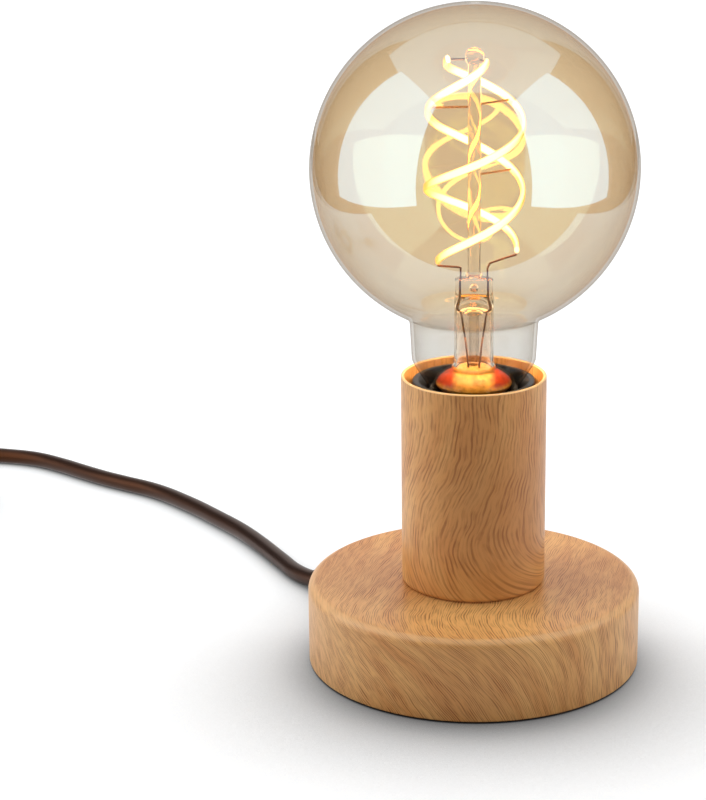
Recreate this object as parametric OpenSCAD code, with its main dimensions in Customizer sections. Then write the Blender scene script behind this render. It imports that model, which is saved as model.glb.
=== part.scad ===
// Bare bulb table lamp: a round base and a short sleeve of printed steel, a screw lampholder,
// a globe bulb with a spiral filament, and a mains cord with a switch, a coil and a flat plug.
// Millimetres. The origin is on the table, under the middle of the base.

/* [Base] */
// Width of the round base
base_d = 100; // [94:1:120]
// Height of the base's steel pan
base_h = 24.8; // [23:0.2:34]
// Thickness of the pan's steel
base_t = 1.2; // [0.8:0.1:1.6]
// Outside radius of the pan's top edge
base_edge_r = 3; // [2:0.5:5]
// Height of the pan's lower rim above the table
base_lift = 0.6; // [0.3:0.1:1.2]
// Thickness of the foot pad
pad_t = 2; // [1.8:0.1:3]
// Distance from the pad's edge to the pan's side
pad_margin = 4; // [3:0.5:6]
// Thickness of the bottom plate
plate_t = 1.2; // [1:0.1:1.6]
// Thickness of the weight
weight_t = 6; // [4:0.5:8]
// Distance from the weight's edge to the pan's inner wall
weight_margin = 4.8; // [4:0.2:8]
// Number of pillars that carry the bottom plate
pillar_count = 3; // [3:1:4]
// Width of a pillar
pillar_d = 8; // [7:0.5:9]
// Distance from the middle of the lamp to a pillar
pillar_ring_r = 34; // [30:0.5:36]

/* [Sleeve] */
// Width of the sleeve
sleeve_d = 43; // [42:0.5:52]
// Height of the sleeve
sleeve_h = 64.1; // [60:0.1:90]
// Thickness of the sleeve's wall and floor
sleeve_t = 1; // [0.8:0.1:1.4]
// Outside radius of the sleeve's lower edge
sleeve_foot_r = 1.5; // [1.5:0.1:3]

/* [Nipple] */
// Width of the threaded nipple
nipple_d = 10; // [10:0.1:11]
// Width of the nipple's bore
nipple_bore_d = 7; // [6.6:0.1:7.4]
// Width of a nut across its flats
nut_flats = 14; // [13:0.5:16]
// Thickness of a nut
nut_t = 4; // [3:0.5:4]
// Width of a washer
washer_d = 18; // [16:0.5:20]
// Thickness of a washer
washer_t = 1; // [0.8:0.1:1.2]

/* [Lampholder] */
// Width of the lampholder
holder_d = 36.6; // [36.6:0.1:38]
// Height of the lampholder
holder_h = 55; // [55:0.5:57]
// Depth of the lampholder's rim below the sleeve's lip
holder_drop = 1.5; // [0.5:0.1:4]
// Height of the lampholder's cap, up to its flange
holder_cap_h = 14.5; // [14.5:0.1:15]
// Thickness of the insert's disc
insert_t = 3.4; // [3:0.1:4]
// Height of the insert's ring above its disc
insert_ring_h = 3; // [2.8:0.1:3.4]
// Thickness of the contacts' strip
strip_t = 0.6; // [0.4:0.1:0.8]

/* [Bulb] */
// Width of the globe
globe_d = 95; // [80:1:125]
// Length of the bulb, from its contact to its top
bulb_len = 140; // [128:1:175]
// Thickness of the glass
glass_t = 1; // [0.6:0.1:1.2]
// Width of the neck where it meets the globe
neck_d = 37.6; // [36.6:0.2:40]
// Radius of the corner between neck and globe
neck_fillet = 4; // [2:0.5:8]
// Height of the screw cap
cap_h = 27; // [26:0.5:28]
// Pitch of the screw thread
thread_pitch = 3.629; // [3.4:0.001:3.8]
// Middle width of the cap's thread
thread_mid_d = 25.4; // [25.2:0.1:25.5]
// Depth of the thread, from root to crest
thread_depth = 0.9; // [0.7:0.05:1]
// Room between the cap's thread and the screw shell
thread_clear = 0.2; // [0.2:0.05:0.4]

/* [Filament] */
// Height of the spiral strands
spiral_h = 57.5; // [45:0.5:60]
// Depth of the press below the middle of the globe
press_drop = 29.9; // [26:0.1:34]
// Height of the first strand's lower end above the press
spiral_lift = 3.9; // [3:0.1:8]
// Height of the second strand's lower end above the first one's
spiral_step = 2; // [0:0.5:4]
// Height that the strands gain where they draw in near their tops
spiral_peak = 1.8; // [0:0.1:2.5]
// Radius of the spiral at its waist
spiral_r = 14; // [9:0.5:16]
// Radius of the first strand's spiral at its top
spiral_top_r = 6; // [5:0.5:9]
// Radius of the first strand's spiral at its lower end
spiral_low_r = 11.5; // [9:0.5:12]
// How much farther out the second strand's top lies
spiral_top_step = 1.6; // [0:0.1:3]
// How much farther out the second strand's lower end lies
spiral_low_step = 0.9; // [0:0.1:2]
// Width of a strand
strand_w = 2.3; // [1.5:0.1:3]
// Thickness of a strand
strand_t = 1.4; // [0.8:0.1:1.8]
// Width of the glass rod
rod_d = 3.7; // [3:0.1:5]
// Width of the stem tube
stem_d = 11.5; // [10.5:0.1:13]
// Thickness of the stem tube's glass
stem_t = 0.8; // [0.6:0.1:1]
// Width of the exhaust tube
exhaust_d = 2.8; // [2.4:0.1:3]
// Width of the wires inside the bulb
lead_d = 0.6; // [0.5:0.1:0.8]

/* [Cord] */
// Width of the cord
cord_d = 5.6; // [5:0.1:6]
// Width of each core inside the cord
core_d = 2.2; // [1.8:0.1:2.3]
// Height of the cord's hole in the base
cord_hole_z = 8.5; // [8.5:0.1:11]
// Length of the strain relief outside the base
relief_len = 22; // [20:1:28]
// Distance of the cord's clamp from the pan's side
clamp_inset = 22; // [20:0.5:26]
// Loops in the coil
coil_loops = 7; // [4:1:8]
// Room between the coil's loops
coil_gap = 0.8; // [0.7:0.1:1.5]
// Radius of the innermost loop
coil_inner_r = 22.5; // [20:0.5:24]
// Thickness of the tie round the coil
tie_t = 1; // [0.8:0.1:1.4]
// Width of the tie
tie_w = 9; // [6:1:14]

/* [Switch] */
// Length of the switch
switch_len = 62; // [58:1:72]
// Width of the switch
switch_w = 27; // [26:0.5:32]
// Height of the switch
switch_h = 18; // [18:0.5:20]
// Thickness of the switch's walls
switch_t = 1.8; // [1.4:0.1:2]
// Length of the rocker
rocker_len = 19; // [16:0.5:22]
// Width of the rocker
rocker_w = 11.4; // [10:0.1:12]
// Tilt of the rocker to either side
rocker_tilt = 9; // [6:0.5:9]

/* [Plug] */
// Width of the plug's body
plug_w = 35.3; // [33:0.1:37]
// Length of the plug's body
plug_len = 36; // [32:0.5:38]
// Thickness of the plug's body
plug_t = 13.7; // [12.6:0.1:15]
// Length of the plug's strain relief
plug_relief_len = 26; // [20:1:30]
// Width of a pin
pin_d = 4; // [4:0.1:4.8]
// Length of a pin
pin_len = 19; // [18:0.5:20]
// Distance between the pins
pin_gap = 18.6; // [17.5:0.1:19]

/* [Hidden] */
$fn = 96;

// Shared clearances
fit = 0.05;        // a shaft in its hole
seat = 0.3;        // a piece in a loose seat
hole_fit = 0.1;    // a screw or a bushing in its hole

// Heights, from the table up
plate_z = pad_t;
plate_top = plate_z + plate_t;
base_top = base_lift + base_h;
weight_top = base_top - base_t;
weight_z = weight_top - weight_t;
sleeve_top = base_top + sleeve_h;
sleeve_floor = base_top + sleeve_t;
lower_nut_z = weight_z - washer_t - nut_t;
upper_nut_z = sleeve_floor + washer_t;
nipple_z = lower_nut_z - 1;
holder_top = sleeve_top - holder_drop;
holder_z = holder_top - holder_h;
collar_top = holder_z + 6.7;
nipple_top = collar_top - 0.2;
flange_z = holder_z + holder_cap_h;
spigot_top = flange_z + 6;
insert_z = spigot_top + hole_fit;
insert_top = insert_z + insert_t;
shell_z = insert_top + insert_ring_h;
shell_top = holder_top - 5;
bulb_z = insert_top + 1.5;
cap_top = bulb_z + cap_h;
thread_low = bulb_z + 6;
thread_high = bulb_z + cap_h - 6.5;
globe_r = globe_d / 2;
globe_z = bulb_z + bulb_len - globe_r;

// Radii
base_r = base_d / 2;
pad_r = base_r - pad_margin;
plate_r = base_r - base_t - seat;
weight_r = base_r - base_t - weight_margin;
sleeve_r = sleeve_d / 2;
nipple_r = nipple_d / 2;
nipple_hole_r = nipple_r + seat;
holder_r = holder_d / 2;
spigot_r = holder_r - 2.2;
insert_r = spigot_r - 0.2;
thread_r = thread_mid_d / 2;
thread_amp = thread_depth / 2;
shell_thread_r = thread_r + thread_clear;
shell_r = shell_thread_r + thread_amp + 0.6;
cap_bore_r = thread_r - thread_amp - 0.5;
cap_rim_r = thread_r + 0.4;
neck_r = neck_d / 2;
rod_r = rod_d / 2;
stem_r = stem_d / 2;
cord_r = cord_d / 2;
core_r = core_d / 2;
lead_r = lead_d / 2;

// Screws
m3_r = 1.5;
m3_head_r = 2.7;
m4_r = 2;
m4_head_r = 3.6;
m4_head_h = 1.6;

// Nuts are drawn from their flats
nut_r = nut_flats / 2 / cos(30);

// Faces round a threaded shell, and the share of its radius that is free inside them
thread_segments = 30;
free_share = cos(180 / thread_segments);

// Stem and spiral
flare_z = bulb_z + 21.5;
press_len = 7.8;
press_top = globe_z - press_drop;
press_z = press_top - press_len;
stem_len = press_z - flare_z;
spiral_z = press_top + spiral_lift;
spiral_top = spiral_z + spiral_h;
rod_top = spiral_top + 0.6;
button_r = rod_r + 0.9;
board_z = bulb_z + 14.5;
board_t = 1.2;
// Each strand: angle at the top, turns, radius at the top and at the bottom, lift of its lower end
STRAND_A = [-55, 1.28, spiral_top_r, spiral_low_r, 0];
STRAND_B = [180, 1.49, spiral_top_r + spiral_top_step, spiral_low_r + spiral_low_step, spiral_step];
strand_rings = 44;

// Cord's hole in the base, and its strain relief
hole_a = 135;
bush_neck_r = cord_r + 1.1;
bush_flange_r = bush_neck_r + 1;
bush_flange_t = 1.5;
relief_tilt = 12;
relief_root = 1;
relief_tip_t = cord_r + 0.7;
relief_tip_r = base_r + relief_root + relief_len * cos(relief_tilt);
relief_tip_z = cord_hole_z - relief_len * sin(relief_tilt);
cord_room = 0.25;
clamp_r = base_r - clamp_inset;
clamp_w = 22;
clamp_len = 10;
clamp_screw_x = 7.5;
core_turn_r = 7;
core_side = core_r + 0.15;

// Points of the cord on the table, chosen by hand, from the lamp to the switch
cord_z = cord_r;
RUN_ROUTE = [
    [-58.3, 60.2, 2.9], [-64, 70.5, cord_z], [-73, 87, cord_z], [-81, 100, cord_z],
    [-90, 112, cord_z], [-103, 128, cord_z], [-117, 142, cord_z], [-129, 150, cord_z],
    [-138, 156, cord_z], [-147, 163, cord_z], [-157, 171, cord_z], [-168, 178, cord_z],
    [-182, 182, cord_z], [-196, 183.5, 3.4], [-208, 184, 6], [-217, 184, 8.4]
];
// From the switch to the coil
LEAD_ROUTE = [
    [-290, 183.6, 8.4], [-300, 180.5, 6.6], [-308, 173, 4.8], [-312.5, 162.5, 3.6],
    [-311, 151, cord_z], [-304.5, 140, cord_z], [-293, 128, cord_z], [-282, 117, 3],
    [-271, 106, 3.6]
];
// From the coil to the plug
END_ROUTE = [[-246, 80, 10], [-238, 69.5, 9.4], [-232, 58, 8.4], [-228.5, 46, 7.3]];

// Coil
coil_x = -225;
coil_y = 122;
coil_a = 225;
coil_pitch = cord_d + coil_gap;
coil_z = tie_t + 0.2 + cord_r;
coil_sides = 6;
coil_steps = 24;
coil_ease = 0.12;
tie_a = 170;

// Switch
switch_x = -253;
switch_y = 184;
switch_split = switch_h / 2;
switch_corner_r = 6;
socket_len = 6;
rocker_z = switch_h - 4.5;
rocker_rise = 5.4;
rocker_slot_w = rocker_w + 2 * seat;
pin_r = 1.2;
post_t = 1.6;
boss_r = 3;
switch_screw_x = switch_len / 2 - 9;
switch_screw_y = switch_w / 2 - switch_t - boss_r + 0.8;

// Plug
plug_x = -226.5;
plug_y = 36;
plug_a = 280;
plug_z = plug_t / 2;

// ---------- small tools ----------

// Points on an arc
function arc(cx, cy, r, a0, a1, n = 8) =
    [for (i = [0:n]) let (a = a0 + (a1 - a0) * i / n) [cx + r * cos(a), cy + r * sin(a)]];

function unit(v) = v / norm(v);

// Direction of a path at one of its points
function heading(p, i) =
    let (n = len(p) - 1)
    i == 0 ? unit(p[1] - p[0]) :
    i == n ? unit(p[n] - p[n - 1]) :
    unit(unit(p[i] - p[i - 1]) + unit(p[i + 1] - p[i]));

function path_len(p, i = 1) = i >= len(p) ? 0 : norm(p[i] - p[i - 1]) + path_len(p, i + 1);

// One outline carried along a path; the outline is [sideways, upwards], where sideways is square
// to the path and to the given axis
module sweep(path, outline, axis = [0, 0, 1]) {
    n = len(path);
    m = len(outline);
    points = [
        for (i = [0:n - 1])
            let (t = heading(path, i), s = unit(cross(t, axis)), u = cross(s, t))
                for (o = outline) path[i] + o[0] * s + o[1] * u
    ];
    sides = [
        for (i = [0:n - 2], k = [0:m - 1])
            let (a = i * m + k, b = i * m + (k + 1) % m)
                each [[a, a + m, b], [b, a + m, b + m]]
    ];
    start = [for (k = [1:m - 2]) [0, k, k + 1]];
    end = [for (k = [1:m - 2]) [(n - 1) * m, (n - 1) * m + k + 1, (n - 1) * m + k]];
    polyhedron(points, concat(sides, start, end), convexity = 12);
}

function round_outline(r, sides) =
    [for (k = [0:sides - 1]) let (a = 360 * (k + 0.5) / sides) [r * cos(a), r * sin(a)]];

module tube_along(path, r, sides, axis = [0, 0, 1]) {
    sweep(path, round_outline(r, sides), axis);
}

// A turned shell with a screw thread: each point is [height, radius, thread height]
module threaded_shell(profile) {
    n = len(profile);
    segments = thread_segments;
    points = [
        for (p = profile, i = [0:segments - 1])
            let (a = 360 * i / segments, r = p[1] + p[2] * cos(360 * p[0] / thread_pitch - a))
                [r * cos(a), r * sin(a), p[0]]
    ];
    faces = [
        for (j = [0:n - 1], i = [0:segments - 1])
            let (
                a = j * segments + i,
                b = j * segments + (i + 1) % segments,
                c = ((j + 1) % n) * segments + i,
                d = ((j + 1) % n) * segments + (i + 1) % segments
            )
                each [[a, c, b], [b, c, d]]
    ];
    polyhedron(points, faces, convexity = 12);
}

module ring(r_out, r_in, h) {
    difference() {
        cylinder(r = r_out, h = h);
        translate([0, 0, -1]) cylinder(r = r_in, h = h + 2);
    }
}

module rounded_rect(w, h, r) {
    square([w - 2 * r, h], center = true);
    square([w, h - 2 * r], center = true);
    for (x = [-1, 1], y = [-1, 1])
        translate([x * (w / 2 - r), y * (h / 2 - r)]) circle(r = r, $fn = 32);
}

// A point of the lamp's own frame, given along the cord's hole
function at_hole(r, z, side = 0) = [
    r * cos(hole_a) - side * sin(hole_a),
    r * sin(hole_a) + side * cos(hole_a),
    z
];

module toward_hole(r, z) {
    translate(at_hole(r, z)) rotate([0, 0, hole_a]) children();
}

// Frame of the strain relief, with z along it
module at_relief() {
    toward_hole(base_r + relief_root, cord_hole_z) rotate([0, 90 + relief_tilt, 0]) children();
}

// Cylinder that points away from the lamp's axis
module outward(r, h) {
    rotate([0, 90, 0]) cylinder(r = r, h = h, $fn = 48);
}

// ---------- base ----------

module base_shell() {
    inner_r = base_edge_r - base_t;
    mid_r = base_r - base_edge_r;
    mid_z = base_top - base_edge_r;
    color("burlywood")
        difference() {
            rotate_extrude()
                polygon(concat(
                    [[nipple_hole_r, base_top], [nipple_hole_r, weight_top]],
                    arc(mid_r, mid_z, inner_r, 90, 0),
                    [[base_r - base_t, base_lift], [base_r, base_lift]],
                    arc(mid_r, mid_z, base_edge_r, 0, 90)
                ));
            toward_hole(base_r - 2 * base_t - 2, cord_hole_z)
                outward(bush_neck_r + hole_fit, 4 * base_t + 4);
        }
}

module on_pillars() {
    for (i = [0:pillar_count - 1])
        rotate([0, 0, hole_a + 360 * (i + 0.5) / pillar_count])
            translate([pillar_ring_r, 0, 0]) children();
}

spigot_h = 4;
pillar_spigot_r = pillar_d / 2 - 1.5;

module weight_disc() {
    color("dimgray")
        difference() {
            translate([0, 0, weight_z]) cylinder(r = weight_r, h = weight_t);
            translate([0, 0, weight_z - 1]) cylinder(r = nipple_hole_r, h = weight_t + 2);
            on_pillars()
                translate([0, 0, weight_z - 1])
                    cylinder(r = pillar_spigot_r + fit, h = min(spigot_h, weight_t - 1) + 1.2, $fn = 48);
            toward_hole(clamp_r, weight_z - 1)
                for (s = [-1, 1])
                    translate([0, s * clamp_screw_x, 0]) cylinder(r = m3_r + fit, h = 5, $fn = 48);
        }
}

module pillars() {
    color("gold")
        on_pillars()
            difference() {
                union() {
                    translate([0, 0, plate_top])
                        cylinder(r = pillar_d / 2, h = weight_z - plate_top, $fn = 6);
                    translate([0, 0, weight_z - 1])
                        cylinder(r = pillar_spigot_r, h = min(spigot_h, weight_t - 1) + 1, $fn = 48);
                }
                translate([0, 0, plate_top - 1]) cylinder(r = m4_r + fit, h = 10, $fn = 48);
            }
}

module bottom_plate() {
    color("silver")
        difference() {
            translate([0, 0, plate_z]) cylinder(r = plate_r, h = plate_t);
            on_pillars()
                translate([0, 0, plate_z - 1]) cylinder(r = m4_r + seat, h = plate_t + 2, $fn = 48);
        }
}

module plate_screws() {
    color("silver")
        on_pillars() {
            translate([0, 0, plate_z - m4_head_h])
                cylinder(r = m4_head_r, h = m4_head_h, $fn = 48);
            translate([0, 0, plate_z - 0.5]) cylinder(r = m4_r, h = 0.5 + plate_t + 7, $fn = 48);
        }
}

module foot_pad() {
    color("black")
        difference() {
            cylinder(r = pad_r, h = pad_t);
            on_pillars()
                translate([0, 0, -1]) cylinder(r = m4_head_r + 0.8, h = pad_t + 2, $fn = 48);
        }
}

// ---------- sleeve and nipple ----------

module sleeve_tube() {
    lip_r = sleeve_t / 2;
    inner_foot_r = sleeve_foot_r - sleeve_t;
    mid_r = sleeve_r - sleeve_foot_r;
    mid_z = base_top + sleeve_foot_r;
    color("burlywood")
        rotate_extrude()
            polygon(concat(
                [[nipple_hole_r, sleeve_floor], [nipple_hole_r, base_top]],
                arc(mid_r, mid_z, sleeve_foot_r, 270, 360),
                arc(sleeve_r - lip_r, sleeve_top - lip_r, lip_r, 0, 180),
                arc(mid_r, mid_z, inner_foot_r, 360, 270)
            ));
}

module nipple() {
    color("silver")
        translate([0, 0, nipple_z]) ring(nipple_r, nipple_bore_d / 2, nipple_top - nipple_z);
}

module nipple_nuts() {
    color("gold")
        for (z = [lower_nut_z, upper_nut_z])
            difference() {
                translate([0, 0, z]) cylinder(r = nut_r, h = nut_t, $fn = 6);
                translate([0, 0, z - 1]) cylinder(r = nipple_r + fit, h = nut_t + 2);
            }
}

module nipple_washers() {
    color("silver")
        for (z = [lower_nut_z + nut_t, sleeve_floor])
            translate([0, 0, z]) ring(washer_d / 2, nipple_r + 0.2, washer_t);
}

// ---------- cord inside the base ----------

module cord_bushing() {
    color("black")
        difference() {
            union() {
                toward_hole(base_r - base_t - 1, cord_hole_z) outward(bush_neck_r, base_t + 2);
                toward_hole(base_r - base_t - bush_sink - 2, cord_hole_z)
                    outward(bush_flange_r, 2);
                toward_hole(base_r + fit, cord_hole_z) outward(bush_flange_r, bush_flange_t);
                at_relief()
                    cylinder(r1 = bush_neck_r + 0.4, r2 = relief_tip_t, h = relief_len, $fn = 48);
            }
            toward_hole(base_r - 10, cord_hole_z)
                outward(cord_r + cord_room, 10 + relief_root + 0.8);
            at_relief()
                translate([0, 0, -0.8])
                    cylinder(r = cord_r + cord_room, h = relief_len + 2, $fn = 48);
        }
}

// How far the flat inner flange stays off the curved wall
bush_sink = pow(bush_flange_r, 2) / 2 / (base_r - base_t) + hole_fit;

INNER_ROUTE = [
    at_hole(relief_tip_r, relief_tip_z),
    at_hole(base_r + relief_root, cord_hole_z),
    at_hole(clamp_r + clamp_len, cord_hole_z),
    at_hole(clamp_r - clamp_len / 2 - 3, cord_hole_z)
];

module cord_inner() {
    color("black") tube_along(INNER_ROUTE, cord_r, 8);
}

clamp_gap = 0.4;

module clamp_block() {
    color("black")
        difference() {
            toward_hole(clamp_r, (weight_z + cord_hole_z + clamp_gap / 2) / 2)
                cube([clamp_len, clamp_w, weight_z - cord_hole_z - clamp_gap / 2], center = true);
            toward_hole(clamp_r - clamp_len, cord_hole_z) outward(cord_r + fit, 2 * clamp_len);
            toward_hole(clamp_r, cord_hole_z - 1)
                for (s = [-1, 1])
                    translate([0, s * clamp_screw_x, 0])
                        cylinder(r = m3_r + hole_fit, h = weight_z, $fn = 48);
        }
}

bridge_z = plate_top + seat;

module clamp_bridge() {
    color("black")
        difference() {
            toward_hole(clamp_r, (bridge_z + cord_hole_z - clamp_gap / 2) / 2)
                cube([clamp_len, clamp_w, cord_hole_z - clamp_gap / 2 - bridge_z], center = true);
            toward_hole(clamp_r - clamp_len, cord_hole_z) outward(cord_r + fit, 2 * clamp_len);
            toward_hole(clamp_r, bridge_z - 1)
                for (s = [-1, 1])
                    translate([0, s * clamp_screw_x, 0]) {
                        cylinder(r = m3_r + hole_fit, h = cord_hole_z, $fn = 48);
                        cylinder(r = m3_head_r + hole_fit, h = 1 + 2, $fn = 48);
                    }
        }
}

module clamp_screws() {
    color("silver")
        toward_hole(clamp_r, bridge_z + 0.2)
            for (s = [-1, 1])
                translate([0, s * clamp_screw_x, 0]) {
                    cylinder(r = m3_head_r, h = 1.8, $fn = 48);
                    cylinder(r = m3_r, h = weight_z + 3.5 - bridge_z - 0.2, $fn = 48);
                }
}

// A core leaves the cord's sheath, turns up into the nipple and spreads to its terminal
function core_route(s) = concat(
    [at_hole(clamp_r - clamp_len / 2 - 3, cord_hole_z - 0.8, s * core_side),
     at_hole(core_turn_r + 4, cord_hole_z - 1.1, s * core_side)],
    [for (a = [0:18:90])
        at_hole(
            core_turn_r - core_turn_r * sin(a),
            cord_hole_z - 1.2 + core_turn_r - core_turn_r * cos(a),
            s * core_side
        )],
    [at_hole(0, (nipple_z + nipple_top) / 2, s * core_side),
     at_hole(0, nipple_top - 4, s * core_side),
     at_hole(0, nipple_top, s * core_side),
     [-s * 3.4, 0.6, nipple_top + 3.4],
     [-s * (terminal_x - 1.6), 0, nipple_top + 6.2],
     [-s * terminal_x, 0, terminal_z - 0.6],
     [-s * terminal_x, 0, terminal_z + 2.8]]
);

module wire_brown() {
    color("saddlebrown") tube_along(core_route(1), core_r, 8, at_hole(0, 0, 1));
}

module wire_blue() {
    color("steelblue") tube_along(core_route(-1), core_r, 8, at_hole(0, 0, 1));
}

// ---------- lampholder ----------

module holder_cap() {
    color("black")
        difference() {
            rotate_extrude()
                polygon([
                    [nipple_r + fit, holder_z], [9, holder_z], [9, holder_z + 5],
                    [holder_r, holder_z + 11], [holder_r, flange_z], [spigot_r, flange_z],
                    [spigot_r, spigot_top], [spigot_r - 1.8, spigot_top],
                    [spigot_r - 1.8, holder_z + 10.8], [7.9, collar_top], [nipple_r + fit, collar_top]
                ]);
            translate([nipple_r - 1, 0, holder_z + 2.5]) outward(m3_r + fit, 8);
        }
}

module lock_screw() {
    color("silver")
        translate([nipple_r + fit, 0, holder_z + 2.5]) outward(m3_r, 9 - nipple_r - fit);
}

skirt_z = flange_z + 0.2;
shoulder_z = shell_z + 0.2;

module holder_skirt() {
    bore_r = shell_r + 0.8;
    mouth_r = holder_r - 2.1;
    lead_in_r = shell_r + 0.3;
    color("black")
        rotate_extrude()
            polygon(concat(
                [[spigot_r + 0.2, skirt_z], [holder_r, skirt_z]],
                arc(holder_r - 0.8, holder_top - 0.8, 0.8, 0, 90, 4),
                [
                    [mouth_r + 0.2, holder_top], [lead_in_r, holder_top - 2.4],
                    [lead_in_r, holder_top - 4], [bore_r, holder_top - 4], [bore_r, shoulder_z],
                    [spigot_r + 0.2, shoulder_z]
                ]
            ));
}

terminal_x = 9;
terminal_size = 6.4;
terminal_h = 5;
terminal_z = insert_z - terminal_h;

module holder_insert() {
    color("whitesmoke")
        difference() {
            translate([0, 0, insert_z]) cylinder(r = insert_r, h = insert_t + insert_ring_h);
            translate([0, 0, insert_top]) cylinder(r = shell_r - 1.6, h = insert_ring_h + 1);
            for (x = [-terminal_x, terminal_x])
                translate([x, 0, insert_z - 1]) cylinder(r = m3_r + fit, h = insert_t + 2, $fn = 48);
        }
}

module screw_shell() {
    root = shell_thread_r + thread_amp;
    start = shell_z + 3;
    end = thread_high - 1.1;
    flange_r = shell_r - 4.4;
    turns_z = [for (z = [end:-thread_pitch / 6:start + 1]) z];
    color("gold")
        threaded_shell(concat(
            [[shell_z, flange_r, 0], [shell_z, shell_r, 0], [shell_top, shell_r, 0],
             [shell_top, root, 0], [end + 1, root, 0]],
            [for (z = turns_z) [z, shell_thread_r, thread_amp]],
            [[start, root, 0], [shell_z + strip_t, root, 0], [shell_z + strip_t, flange_r, 0]]
        ));
}

module rivet(x) {
    translate([x, 0, insert_z]) cylinder(r = m3_r, h = insert_t + strip_t / 2, $fn = 48);
}

module centre_contact() {
    tip = bulb_z - 0.2 - insert_top;
    color("gold") {
        rivet(-terminal_x);
        translate([0, 2.5, insert_top]) rotate([90, 0, 0])
            linear_extrude(height = 5)
                polygon([
                    [-terminal_x - 2.4, 0], [-5, 0], [-1.6, tip - strip_t], [2.2, tip - strip_t],
                    [2.2, tip], [-1.9, tip], [-5.2, strip_t], [-terminal_x - 2.4, strip_t]
                ]);
    }
}

module side_contact() {
    reach = shell_r - 2;
    color("gold") {
        rivet(terminal_x);
        translate([0, 2, insert_top]) rotate([90, 0, 0])
            linear_extrude(height = 4)
                polygon([
                    [terminal_x - 2.4, 0], [reach, 0], [reach, insert_ring_h],
                    [reach - strip_t, insert_ring_h], [reach - strip_t, strip_t],
                    [terminal_x - 2.4, strip_t]
                ]);
    }
}

module terminals() {
    color("gold")
        for (s = [-1, 1])
            difference() {
                translate([s * terminal_x, 0, terminal_z + terminal_h / 2])
                    cube([terminal_size, terminal_size, terminal_h], center = true);
                translate([s * terminal_x, 0, terminal_z - 1])
                    cylinder(r = core_r + 0.2, h = 4, $fn = 48);
                translate([s * terminal_x, 0, terminal_z + 2])
                    rotate([0, 0, s > 0 ? 0 : 180]) outward(m3_r - 0.5 + fit, 4);
            }
}

module terminal_screws() {
    face = terminal_x + terminal_size / 2;
    color("silver")
        for (s = [0, 180])
            rotate([0, 0, s]) {
                translate([terminal_x + core_r + 0.3, 0, terminal_z + 2])
                    outward(m3_r - 0.5, face - terminal_x - core_r);
                translate([face, 0, terminal_z + 2]) outward(1.8, 1.2);
            }
}

// ---------- bulb ----------

fillet_x = neck_r + neck_fillet;
fillet_z = globe_z - sqrt(pow(globe_r + neck_fillet, 2) - pow(fillet_x, 2));
glass_seat_r = cap_bore_r - 0.15;

// Heights on the neck, from its shoulder up, as parts of the way from the cap to the corner
neck_len = fillet_z - cap_top;
function neck_at(part) = cap_top + neck_len * part;

// Half outline of the bulb, drawn in by t
module bulb_outline(t) {
    intersection() {
        union() {
            translate([0, globe_z]) circle(r = globe_r - t);
            difference() {
                polygon([[0, fillet_z], [fillet_x, fillet_z], [0, globe_z]]);
                translate([fillet_x, fillet_z]) circle(r = neck_fillet + t);
            }
            polygon([
                [0, flare_z - 2], [glass_seat_r - t, flare_z - 2], [glass_seat_r - t, cap_top],
                [cap_rim_r - 0.2 - t, cap_top + 0.2], [neck_r - 1.4 - t, neck_at(0.37)],
                [neck_r - 0.75 - t, neck_at(0.435)], [neck_r - 0.5 - t, neck_at(0.51)],
                [neck_r - t, fillet_z + 0.01], [0, fillet_z + 0.01]
            ]);
        }
        translate([0, flare_z - 3]) square([globe_r * 2, bulb_len]);
    }
}

module glass_envelope() {
    color("wheat", 0.5)
        difference() {
            rotate_extrude() bulb_outline(0);
            rotate_extrude() bulb_outline(glass_t);
            translate([0, 0, flare_z - 3]) cylinder(r = glass_seat_r - glass_t, h = 4);
        }
}

module stem_glass() {
    inner_r = stem_r - stem_t;
    hole_x = 3.9;
    color("whitesmoke", 0.5)
        difference() {
            union() {
                rotate_extrude()
                    polygon([
                        [inner_r, flare_z + 2.4], [stem_r, flare_z + 3], [stem_r, press_z - 2],
                        [0, press_z - 2], [0, press_z - 3], [inner_r, press_z - 3]
                    ]);
                rotate_extrude()
                    polygon([
                        [stem_r - 0.4, flare_z - 1], [glass_seat_r - glass_t - fit, flare_z - 1],
                        [glass_seat_r - glass_t - fit, flare_z], [stem_r, flare_z + 3.1],
                        [inner_r, flare_z + 3.1]
                    ]);
                hull() {
                    translate([0, 0, press_z - 2.2]) cylinder(r = stem_r, h = 0.2, $fn = 32);
                    translate([0, 0, press_z + 1.5])
                        cube([stem_d - 0.6, 4.6, 0.2], center = true);
                }
                translate([0, 0, press_z + press_len / 2 + 0.5])
                    cube([stem_d - 0.6, 4.6, press_len - 1], center = true);
            }
            for (x = [-hole_x, hole_x])
                translate([x, 0, press_z - 4]) cylinder(r = lead_r + 0.15, h = press_len + 6, $fn = 24);
        }
}

module exhaust_tube() {
    color("whitesmoke", 0.5)
        translate([0, 0, bulb_z + 16])
            ring(exhaust_d / 2, exhaust_d / 2 - 0.4, press_z - 3.1 - bulb_z - 16);
}

module glass_rod() {
    color("whitesmoke", 0.5) {
        translate([0, 0, press_top]) cylinder(r = rod_r, h = rod_top - press_top, $fn = 48);
        translate([0, 0, rod_top])
            intersection() {
                sphere(r = button_r, $fn = 48);
                translate([0, 0, 1]) cube([2 * rod_d, 2 * rod_d, 4.4], center = true);
            }
    }
}

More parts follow.
